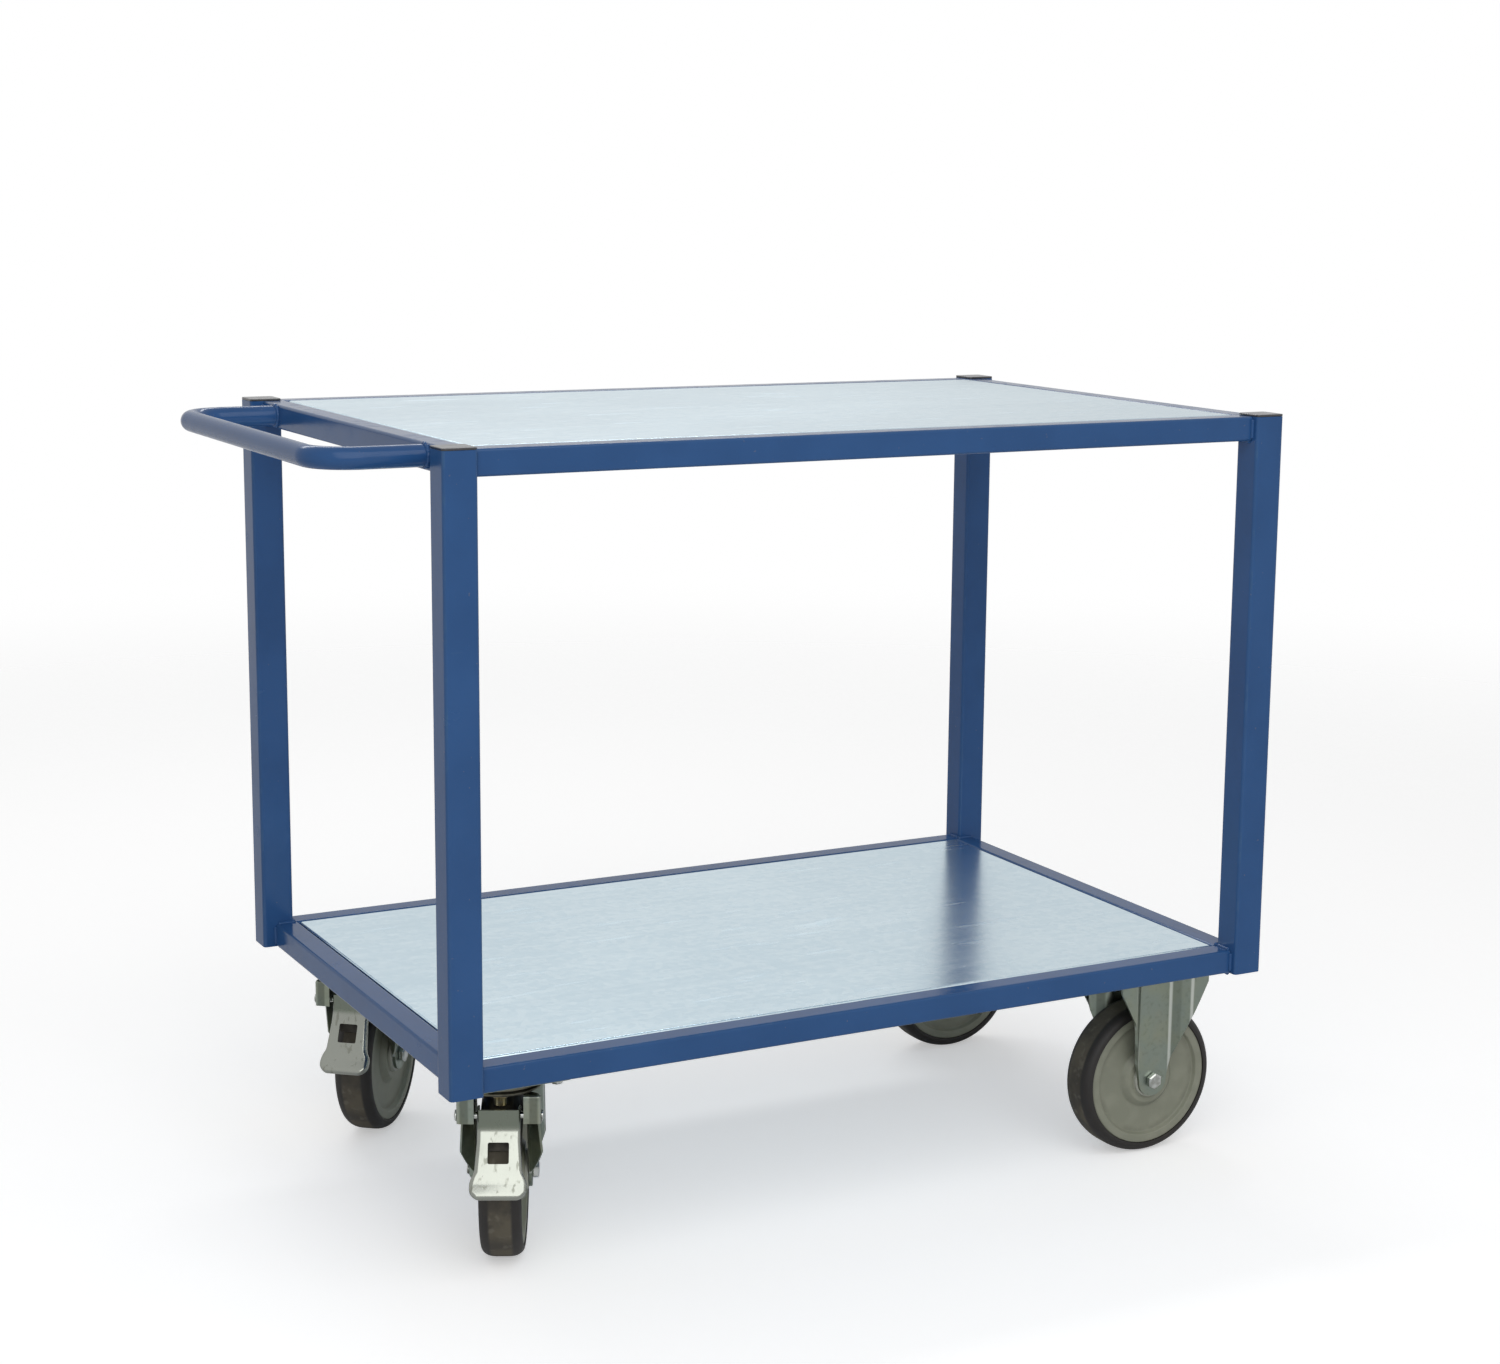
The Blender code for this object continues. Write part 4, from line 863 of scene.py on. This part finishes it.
def press_fork(name, form):
    """Cut the head plate from flat sheet, then pull the legs down from its two long edges."""
    top = form["top"]
    out = form["out"]
    strip = form["strip"]
    crest = strip + form["wall_run"]
    rear = form["rear"]
    front = form["front"]

    def middle(z):
        share = (z - WHEEL_RADIUS) / (top - WHEEL_RADIUS)
        return form["axle"] + (form["strip_top"] - form["axle"]) * share

    fork = start("plane", name, size=1, location=((rear[0] + front[0]) / 2, 0, top),
                 scale=(front[0] - rear[0], 2 * out, 1))
    cuts = [((middle(top) + run, 0, top), (1, 0, 0)) for run in (-crest, -strip, strip, crest)]
    if form["cheek"]:
        cuts += [((0, run, top), (0, 1, 0)) for run in (-form["cheek"], form["cheek"])]
    for spot, way in cuts:
        bpy.ops.mesh.select_all(action="SELECT")
        bpy.ops.mesh.bisect(plane_co=spot, plane_no=way)
    if form["cheek"]:
        pick("FACE", lambda face: abs(face.calc_center_median().y) < form["cheek"])
        bpy.ops.mesh.bisect(plane_co=(form["head_front"], 0, top), plane_no=(1, 0, 0))
        pick("FACE", lambda face: abs(face.calc_center_median().y) < form["cheek"]
             and face.calc_center_median().x > form["head_front"])
        bpy.ops.mesh.delete(type="FACE")
    for side in (1, -1):
        for run in (-strip, strip):
            x = middle(top) + run
            shift((x, side * out, top), (x, side * STRIP_FACE, top))
        pick("EDGE", lambda edge: len(edge.link_faces) == 1
             and all(side * vert.co.y > STRIP_FACE - SAME_SPOT for vert in edge.verts))
        drop = form["flange_drop"]
        flange_end = form["flange_end"]
        wall_end = form["wall_end"]
        pull(0, 0, -drop)
        for way, (flange, flange_low) in ((-1, rear), (1, front)):
            low_spot = Vector((flange_low, side * out, top - drop + FLANGE_LIFT))
            crest_x = middle(flange_end) + way * crest
            crest_spot = Vector((crest_x, side * out, flange_end))
            strip_x = middle(wall_end) + way * strip
            strip_spot = Vector((strip_x, side * STRIP_FACE, wall_end))
            shift((flange, side * out, top - drop), low_spot)
            shift((middle(top) + way * crest, side * out, top - drop), crest_spot)
            shift((middle(top) + way * strip, side * STRIP_FACE, top - drop), strip_spot)

            def on_wall(share):
                z = wall_end + (flange_end - wall_end) * share ** form["belly"]
                x = middle(z) + way * (strip + form["wall_run"] * share)
                return (x, side * (STRIP_FACE + (out - STRIP_FACE) * share), z)

            def on_flange(share):
                spot = crest_spot.lerp(low_spot, share)
                spot.z = flange_end + (low_spot.z - flange_end) * share ** form["belly"]
                return spot

            curve_edge(strip_spot, crest_spot, on_wall)
            if form["cheek"] and way > 0:
                crest_top = (middle(top) + crest, side * out, top)
                cut_ear(crest_top, crest_spot, low_spot, form["ear_end"])
            else:
                curve_edge(crest_spot, low_spot, on_flange)
        pick("EDGE", lambda edge: all(abs(vert.co.z - wall_end) < SAME_SPOT
                                      and side * vert.co.y > 0 for vert in edge.verts))
        pull(0, 0, WHEEL_RADIUS - wall_end)
        ends = []
        for way in (-1, 1):
            spot = (middle(wall_end) + way * strip, side * STRIP_FACE, WHEEL_RADIUS)
            end_x = form["axle"] + way * form["strip_end"]
            ends.append(Vector((end_x, side * STRIP_FACE, WHEEL_RADIUS)))
            shift(spot, ends[-1])
        pick_between("EDGE", ends)
        pull(0, 0, -form["strip_end"])
        lowest = WHEEL_RADIUS - form["strip_end"]
        pick("VERT", lambda vert: abs(vert.co.z - lowest) < SAME_SPOT and side * vert.co.y > 0)
        bpy.ops.mesh.bevel(offset=STRIP_ROUND * form["strip_end"], segments=12, affect="VERTICES")
    if form["cheek"]:
        pick("EDGE", lambda edge: len(edge.link_faces) == 1
             and all(abs(vert.co.x - front[0]) < SAME_SPOT for vert in edge.verts)
             and all(abs(vert.co.z - top) < SAME_SPOT for vert in edge.verts)
             and abs(sum(vert.co.y for vert in edge.verts)) > form["cheek"])
        pull(front[1] - front[0], 0, FLANGE_LIFT - form["flange_drop"])
    bpy.ops.mesh.select_all(action="SELECT")
    bpy.ops.mesh.remove_doubles(threshold=2 * SAME_SPOT)
    face_outwards(Vector((0, 0, 1)))
    bpy.ops.mesh.select_all(action="SELECT")
    bpy.ops.mesh.dissolve_limited(angle_limit=math.radians(1))
    pick("EDGE", lambda edge: len(edge.link_faces) == 2 and edge.calc_face_angle(0) > FORK_FLAT)
    round_off(FORK_BEND, 6)
    mark_bends(fork)
    give_wall(fork, FORK_SHEET)
    break_edges(fork, FORK_EDGE)
    keep_place(fork)
    fork.data.materials.append(castor_zinc)
    return fork


castor_place = {}
for hand in HANDS:
    spot = joint_spot[f"fixed_wheel_{hand}_spin"]
    turn = Matrix.Identity(4) if hand == "left" else Matrix.Rotation(math.pi, 4, "Z")
    castor_place["fixed", hand] = Matrix.Translation((spot.x, spot.y, 0)) @ turn
    spot = joint_spot[f"castor_{hand}_swivel"]
    trail = spot - joint_spot[f"swivel_wheel_{hand}_spin"]
    turn = Matrix.Rotation(math.atan2(trail.y, trail.x), 4, "Z")
    castor_place["swivel", hand] = Matrix.Translation((spot.x, spot.y, 0)) @ turn
for kind, form in (("fixed", FIXED_FORK), ("swivel", SWIVEL_FORK)):
    pressing = press_fork("pressing", form)
    for hand in HANDS:
        fork = copy_to(pressing, f"{kind}_castor_fork_{hand}", castor_place[kind, hand])
        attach(fork, "frame" if kind == "fixed" else f"swivel_{hand}")
        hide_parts(f"{kind}_fork_{hand}")
    bpy.data.objects.remove(pressing)


# Axles: a hexagon bolt through the strips with a nut on the far side, plain bright zinc. The hub's
# bush between them keeps its CAD solid.
HEX_FLATS = 0.019
HEX_HEIGHT = 0.0075
HEX_EDGE = 0.0005
HEX_CORNER_DROP = 0.0016       # how far the corners are turned down
HEX_CROWN = 0.10               # rings of a hexagon's end faces, as shares of its flats
HEX_MIDDLE = 0.16
HEX_UNDERCUT = 0.04
HEX_CORNER = 0.97              # of the reach: what lies further out is a corner
HEX_LIMIT = 25                 # degrees
SHANK = 0.006
SHANK_IN = 0.001               # how far the shank runs into the head
SHANK_LIMIT = 30
SEAT_GAP = 0.0003              # heads sit clear of the sheet by this
THREAD_OUT = 0.003
THREAD_TIP = 0.0046
THREAD_ROOT = 0.0054
THREAD_PITCH = 0.0012
THREAD_EDGE = 0.0001
WASHER = 0.0009
BOLT_BRIGHT = (0.62, 0.64, 0.62)
BOLT_DARK = (0.36, 0.37, 0.34)


def clouded(name, one, other, metallic, cells, gloss, grain):
    """A metal finish that changes in clouds between two colours, with a fine grain."""
    finish, place = new_finish(name)
    cloud = place.noise(*cells)
    close_finish(place, Base_Color=cloud.step(0.35, 0.70).shade(one, other), Metallic=metallic,
                 Roughness=gloss[0] + gloss[1] * cloud,
                 Normal=place.noise(grain[0], 2.0).relief(*grain[1:]))
    return finish


bolt_bright = clouded("bolt_bright", BOLT_BRIGHT, BOLT_DARK, 1.0, (120.0, 3.0), (0.11, 0.14),
                      (420.0, 0.0002, 0.12))


def hexagon_head(name, flats, height, seat):
    """A forged hexagon with a turned top edge and a washer face, standing on z = seat."""
    reach = flats / 2 / math.cos(math.pi / 6)
    head = start("cylinder", name, vertices=6, radius=reach, depth=height - WASHER,
                 location=(0, 0, seat + (height + WASHER) / 2))
    pick("FACE", lambda face: face.normal.z > FACING)
    bpy.ops.mesh.inset(thickness=HEX_CROWN * flats)
    bpy.ops.mesh.inset(thickness=HEX_MIDDLE * flats, depth=0.0)
    pick("VERT", lambda vert: vert.co.z > seat + height - SAME_SPOT
         and vert.co.xy.length > HEX_CORNER * reach)
    bpy.ops.transform.translate(value=(0, 0, -HEX_CORNER_DROP))
    pick("FACE", lambda face: face.normal.z < -FACING)
    bpy.ops.mesh.inset(thickness=HEX_UNDERCUT * flats)
    pull(0, 0, -WASHER)
    break_edges(head, HEX_EDGE, 3, HEX_LIMIT)
    return head


def turned_pin(name, profile, sides=32):
    """A solid turned pin: rings pulled from one end to the other."""
    radius, along = profile[0]
    pin = start("circle", name, vertices=sides, radius=radius, location=(0, 0, along),
                fill_type="NGON")
    pull_rings(profile)
    face_out()
    bpy.ops.object.mode_set(mode="OBJECT")
    return pin


def finish_with(piece, finish):
    """Give a joined piece one finish all over."""
    piece.data.materials.clear()
    piece.data.materials.append(finish)


bolt_seat = STRIP_FACE + SEAT_GAP
bolt_end = -bolt_seat - HEX_HEIGHT - THREAD_OUT
head = hexagon_head("head", HEX_FLATS, HEX_HEIGHT, bolt_seat)
threads = [(THREAD_TIP, bolt_end), (SHANK, bolt_end + THREAD_PITCH)]
for number in range(3):
    groove = bolt_end + (1.5 + number) * THREAD_PITCH
    threads += [(THREAD_ROOT, groove), (SHANK, groove + THREAD_PITCH / 2)]
shank = turned_pin("shank", threads + [(SHANK, bolt_seat + SHANK_IN)])
break_edges(shank, THREAD_EDGE, 1, SHANK_LIMIT)
axle_bolt = join_as("axle_bolt_form", [head, shank])
finish_with(axle_bolt, bolt_bright)
axle_nut = hexagon_head("axle_nut_form", HEX_FLATS, HEX_HEIGHT, bolt_seat)
axle_nut.data.materials.append(castor_zinc)
lay = Matrix.Rotation(-math.pi / 2, 4, "X")
lay_back = Matrix.Rotation(math.pi / 2, 4, "X")
for kind, hand in CASTORS:
    carrier = "frame" if kind == "fixed" else f"swivel_{hand}"
    axle = FIXED_FORK["axle"] if kind == "fixed" else SWIVEL_FORK["axle"]
    to_axle = castor_place[kind, hand] @ Matrix.Translation((axle, 0, WHEEL_RADIUS))
    bolt = copy_to(axle_bolt, f"{kind}_axle_bolt_{hand}", to_axle @ lay)
    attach(bolt, carrier)
    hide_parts(f"{kind}_{hand}_axle_bolt")
    nut = copy_to(axle_nut, f"{kind}_axle_nut_{hand}", to_axle @ lay_back)
    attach(nut, carrier)
    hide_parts(f"{kind}_{hand}_axle_nut")
    frame["nodes"][f"{kind}_{hand}_hub_bush"].material_slots[0].material = bolt_bright
bpy.data.objects.remove(axle_bolt)
bpy.data.objects.remove(axle_nut)


# Swivel heads: a flat zinc plate under the beam, a pressed ball race below it that the fork turns
# on, and the king bolt that holds fork and race to the plate.
PLATE_CORNER = 0.008
PLATE_EDGE = 0.0006
RACE_EDGE = 0.0004
RACE_CUPS = [(0.75, 0.0), (1.0, 0.0), (1.0, 0.30), (0.94, 0.42), (0.88, 0.45), (0.88, 0.53),
             (0.95, 0.56), (0.98, 0.64), (0.97, 0.80), (0.90, 1.0), (0.40, 1.0)]
RACE_OLIVE = (0.200, 0.195, 0.150)
RACE_DARK = (0.085, 0.084, 0.064)
KING_FLATS = 0.024
KING_HEAD = 0.010
KING_SHANK = 0.007
KING_TIP = 0.0055
KING_TIP_LENGTH = 0.0015
KING_TOP = 0.006
KING_TOP_LENGTH = 0.0008
KING_EDGE = 0.0002
KING_END = 0.011               # shank below the hexagon
KING_YELLOW = (0.80, 0.66, 0.32)
KING_PALE = (0.84, 0.78, 0.56)
HEAD_TOP = SWIVEL_FORK["top"] - FORK_SHEET - SEAT_GAP
race_metal = clouded("race_metal", RACE_DARK, RACE_OLIVE, 0.8, (70.0, 4.0), (0.34, 0.24),
                     (300.0, 0.0003, 0.15))
king_zinc = clouded("king_zinc", KING_YELLOW, KING_PALE, 1.0, (110.0, 3.0), (0.26, 0.16),
                    (400.0, 0.0002, 0.12))
for hand in HANDS:
    node = f"swivel_plate_{hand}"
    low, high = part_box(node)
    plate = start_block(f"{node}_cut", low, high)
    pick("EDGE", lambda edge: stands(edge, high.z - low.z))
    round_off(PLATE_CORNER, 8)
    break_edges(plate, PLATE_EDGE, 3)
    plate.data.materials.append(castor_zinc)
    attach(plate, "frame")
    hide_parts(node)
    node = f"ball_race_{hand}"
    low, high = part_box(node)
    wide = (high.x - low.x) / 2
    tall = high.z - low.z
    cups = [(share * wide, high.z - down * tall) for share, down in RACE_CUPS]
    race = turned_pin(f"{node}_cups", cups, 72)
    race.data.transform(Matrix.Translation(((low.x + high.x) / 2, (low.y + high.y) / 2, 0)))
    break_edges(race, RACE_EDGE, 2, TURNED)
    race.data.materials.append(race_metal)
    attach(race, "frame")
    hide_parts(node)
    node = f"king_bolt_{hand}"
    low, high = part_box(node)
    head = hexagon_head("head", KING_FLATS, KING_HEAD, 0)
    head.data.transform(Matrix.Translation((0, 0, HEAD_TOP)) @ Matrix.Rotation(math.pi, 4, "X"))
    king_end = HEAD_TOP - KING_HEAD - KING_END
    shank = turned_pin("shank", [(KING_TIP, king_end), (KING_SHANK, king_end + KING_TIP_LENGTH),
                                 (KING_SHANK, high.z - KING_TOP_LENGTH), (KING_TOP, high.z)])
    break_edges(shank, KING_EDGE, 1, SHANK_LIMIT)
    king = join_as(f"{node}_hexagon", [head, shank])
    king.data.transform(castor_place["swivel", hand])
    finish_with(king, king_zinc)
    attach(king, "frame")
    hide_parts(node)


# Castor bolts: four zinc-plated hexagon bolts hold each castor's plate to the beam above it. Their
# heads show below the plate.
PLATE_BOLT_FLATS = 0.013
PLATE_BOLT_HEIGHT = 0.0065
PLATE_BOLT_X = 0.0525
PLATE_BOLT_Y = 0.040
PLATE_BOLT_TWIST = 0.7         # each head is turned a little further, as it was left by the spanner
PLATE_UNDERSIDE = {"fixed": FIXED_FORK["top"] - FORK_SHEET, "swivel": 0.236}
for kind, underside in PLATE_UNDERSIDE.items():
    for hand in HANDS:
        spot = castor_place[kind, hand].translation
        heads = []
        for x in (-PLATE_BOLT_X, PLATE_BOLT_X):
            for y in (-PLATE_BOLT_Y, PLATE_BOLT_Y):
                head = hexagon_head(f"head_{len(heads)}", PLATE_BOLT_FLATS, PLATE_BOLT_HEIGHT, 0)
                turn = Matrix.Rotation(math.pi, 4, "X")
                turn = turn @ Matrix.Rotation(PLATE_BOLT_TWIST * len(heads), 4, "Z")
                to_hole = Matrix.Translation((spot.x + x, spot.y + y, underside))
                head.data.transform(to_hole @ turn)
                heads.append(head)
        bolts = join_as(f"{kind}_plate_bolts_{hand}", heads)
        finish_with(bolts, bolt_bright)
        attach(bolts, "frame")


# Brake pedals: each is stamped from zinc-plated sheet. An upright lever turns on a pin between the
# fork's ears, and below it follows a sloping tread with a square window and a wider foot that turns
# out. The border is turned back all round the tread.
PEDAL_SHEET = 0.0025
PEDAL_BEND = 0.0045
PEDAL_EDGE = 0.0005
PEDAL_FLAT = 0.2               # radians: a fold of less than this isn't a bend
PEDAL_SLOPE = math.radians(65)
FOOT_KICK = math.radians(16)
FOOT_CORNER = 0.008
FLARE_START = 0.048
FLARE_END = 0.058
LEVER_X = 0.010
LEVER_TOP = 0.009
KNEE_DROP = 0.013
EAR = 0.018
BORDER = 0.007
LEVER_WIDTH = 0.049
WAIST_WIDTH = 0.054
FOOT_WIDTH = 0.065
TREAD_LENGTH = 0.078
WINDOW = 0.024
WINDOW_CORNER = WINDOW / 12
WINDOW_DOWN = 0.027
PIN_RADIUS = 0.004
PIN_HEAD = 0.0065
PIN_HEAD_HEIGHT = 0.0025
PIN_EDGE = 0.0002
PEDAL_BRIGHT = (0.365, 0.38, 0.340)
PEDAL_RUBBED = (0.265, 0.275, 0.235)
LEVER_PAINTED_SHADE = (0.20, 0.225, 0.185)
SHOE_BROWN = (0.075, 0.068, 0.054)
SHOE_DARK = (0.040, 0.037, 0.030)
pedal_zinc, place = new_finish("pedal_zinc")
cloud = place.noise(40.0, 4.0)
scuffs = place.stretched((160.0, 160.0, 30.0)).noise(1.0, 5.0).step(0.56, 0.70)
colour = (0.5 * cloud + 0.5 * scuffs).step(0.25, 0.75).shade(PEDAL_BRIGHT, PEDAL_RUBBED)
height = place.stored("own_place", "Vector").along("Z")
# Painted shade: the upright lever is the same zinc as the tread, darkened for the dimmer light that
# its face takes
colour = height.step(-KNEE_DROP - 0.004, -KNEE_DROP + 0.003).shade(colour, LEVER_PAINTED_SHADE)
close_finish(place, Base_Color=colour, Metallic=1.0, Roughness=0.17 + 0.12 * cloud + 0.12 * scuffs,
             Normal=place.noise(150.0, 3.0).relief(0.0003, 0.14))
shoe_metal = clouded("shoe_metal", SHOE_BROWN, SHOE_DARK, 0.2, (90.0, 4.0), (0.55, 0.20),
                     (350.0, 0.0003, 0.15))
down = Vector((math.cos(PEDAL_SLOPE), 0, -math.sin(PEDAL_SLOPE)))
back = Vector((-math.sin(PEDAL_SLOPE), 0, -math.cos(PEDAL_SLOPE)))
knee = Vector((LEVER_X, 0, -KNEE_DROP))
rows = [(Vector((LEVER_X, 0, LEVER_TOP)), LEVER_WIDTH, Vector((-EAR, 0, 0)))]
rows.append((knee, LEVER_WIDTH, Vector((-EAR, 0, 0))))
rows.append((knee + down * 2 * BORDER, LEVER_WIDTH, back * BORDER))
rows.append((knee + down * FLARE_START, WAIST_WIDTH, back * BORDER))
foot = knee + down * FLARE_END
kick = PEDAL_SLOPE - FOOT_KICK
foot_down = Vector((math.cos(kick), 0, -math.sin(kick)))
foot_back = Vector((-math.sin(kick), 0, -math.cos(kick)))
foot_length = TREAD_LENGTH - FLARE_END
rows.append((foot, FOOT_WIDTH, back * BORDER))
rows.append((foot + foot_down * (foot_length - FOOT_CORNER), FOOT_WIDTH, foot_back * BORDER))
rows.append((foot + foot_down * foot_length, FOOT_WIDTH - 2 * FOOT_CORNER, foot_back * BORDER))
stamping = start("plane", "stamping", size=1, location=(LEVER_X, 0, (LEVER_TOP - KNEE_DROP) / 2),
                 rotation=(0, math.pi / 2, 0), scale=(LEVER_TOP + KNEE_DROP, LEVER_WIDTH, 1))
pick("EDGE", lambda edge: all(vert.co.z < -KNEE_DROP + SAME_SPOT for vert in edge.verts))
for (spot, width, _), (next_spot, next_width, _) in zip(rows[1:], rows[2:]):
    pull(*(next_spot - spot))
    bpy.ops.transform.resize(value=(1, next_width / width, 1), center_override=next_spot)
slant = Vector((-0.005, 0, -0.002))  # off the sheet, before each corner goes to its own depth
for side in (1, -1):
    pick("EDGE", lambda edge: len(edge.link_faces) == 1
         and all(side * vert.co.y > 0 for vert in edge.verts))
    pull(*slant)
    for spot, width, depth in rows:
        edge_spot = spot + Vector((0, side * width / 2, 0))
        shift(edge_spot + slant, edge_spot + depth)
foot_end = rows[-1][0]
pick("EDGE", lambda edge: len(edge.link_faces) == 1
     and all(abs((vert.co - foot_end).dot(foot_down)) < SAME_SPOT for vert in edge.verts))
bpy.ops.mesh.edge_face_add()
face_outwards(Vector((1, 0, 0)))
pick("EDGE", lambda edge: len(edge.link_faces) == 2 and edge.calc_face_angle(0) > PEDAL_FLAT)
round_off(PEDAL_BEND, 6)
give_wall(stamping, PEDAL_SHEET)
window = start("cube", "window", size=WINDOW, location=knee + down * WINDOW_DOWN,
               rotation=(0, PEDAL_SLOPE - math.pi / 2, 0))
pick("EDGE", lambda edge: abs((edge.verts[0].co - edge.verts[1].co).dot(back)) > WINDOW / 2)
round_off(WINDOW_CORNER, 4)
bpy.ops.object.mode_set(mode="OBJECT")
harden(stamping, "BOOLEAN", operation="DIFFERENCE", object=window)
bpy.data.objects.remove(window)
break_edges(stamping, PEDAL_EDGE)
keep_place(stamping)
stamping.data.materials.append(pedal_zinc)
pin_seat = SWIVEL_FORK["out"] + SEAT_GAP
dome = [(0.5, 1.0), (0.85, 0.85), (1.0, 0.45), (1.0, 0.0)]
half_pin = [(wide * PIN_HEAD, pin_seat + up * PIN_HEAD_HEIGHT) for wide, up in dome]
pin_form = turned_pin("pin_form", both_halves(half_pin + [(PIN_RADIUS, pin_seat)]))
break_edges(pin_form, PIN_EDGE, 1, SHANK_LIMIT)
pin_form.data.materials.append(bolt_bright)
for hand in HANDS:
    turn = castor_place["swivel", hand].to_3x3().to_4x4()
    to_pin = Matrix.Translation(joint_spot[f"brake_{hand}_lift"]) @ turn
    pedal = copy_to(stamping, f"brake_pedal_{hand}_stamping", to_pin)
    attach(pedal, f"brake_{hand}")
    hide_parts(f"brake_pedal_{hand}")
    pin = copy_to(pin_form, f"brake_pin_{hand}_turned", to_pin @ lay)
    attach(pin, f"swivel_{hand}")
    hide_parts(f"brake_pin_{hand}")
    frame["nodes"][f"brake_shoe_{hand}"].material_slots[0].material = shoe_metal
bpy.data.objects.remove(stamping)
bpy.data.objects.remove(pin_form)
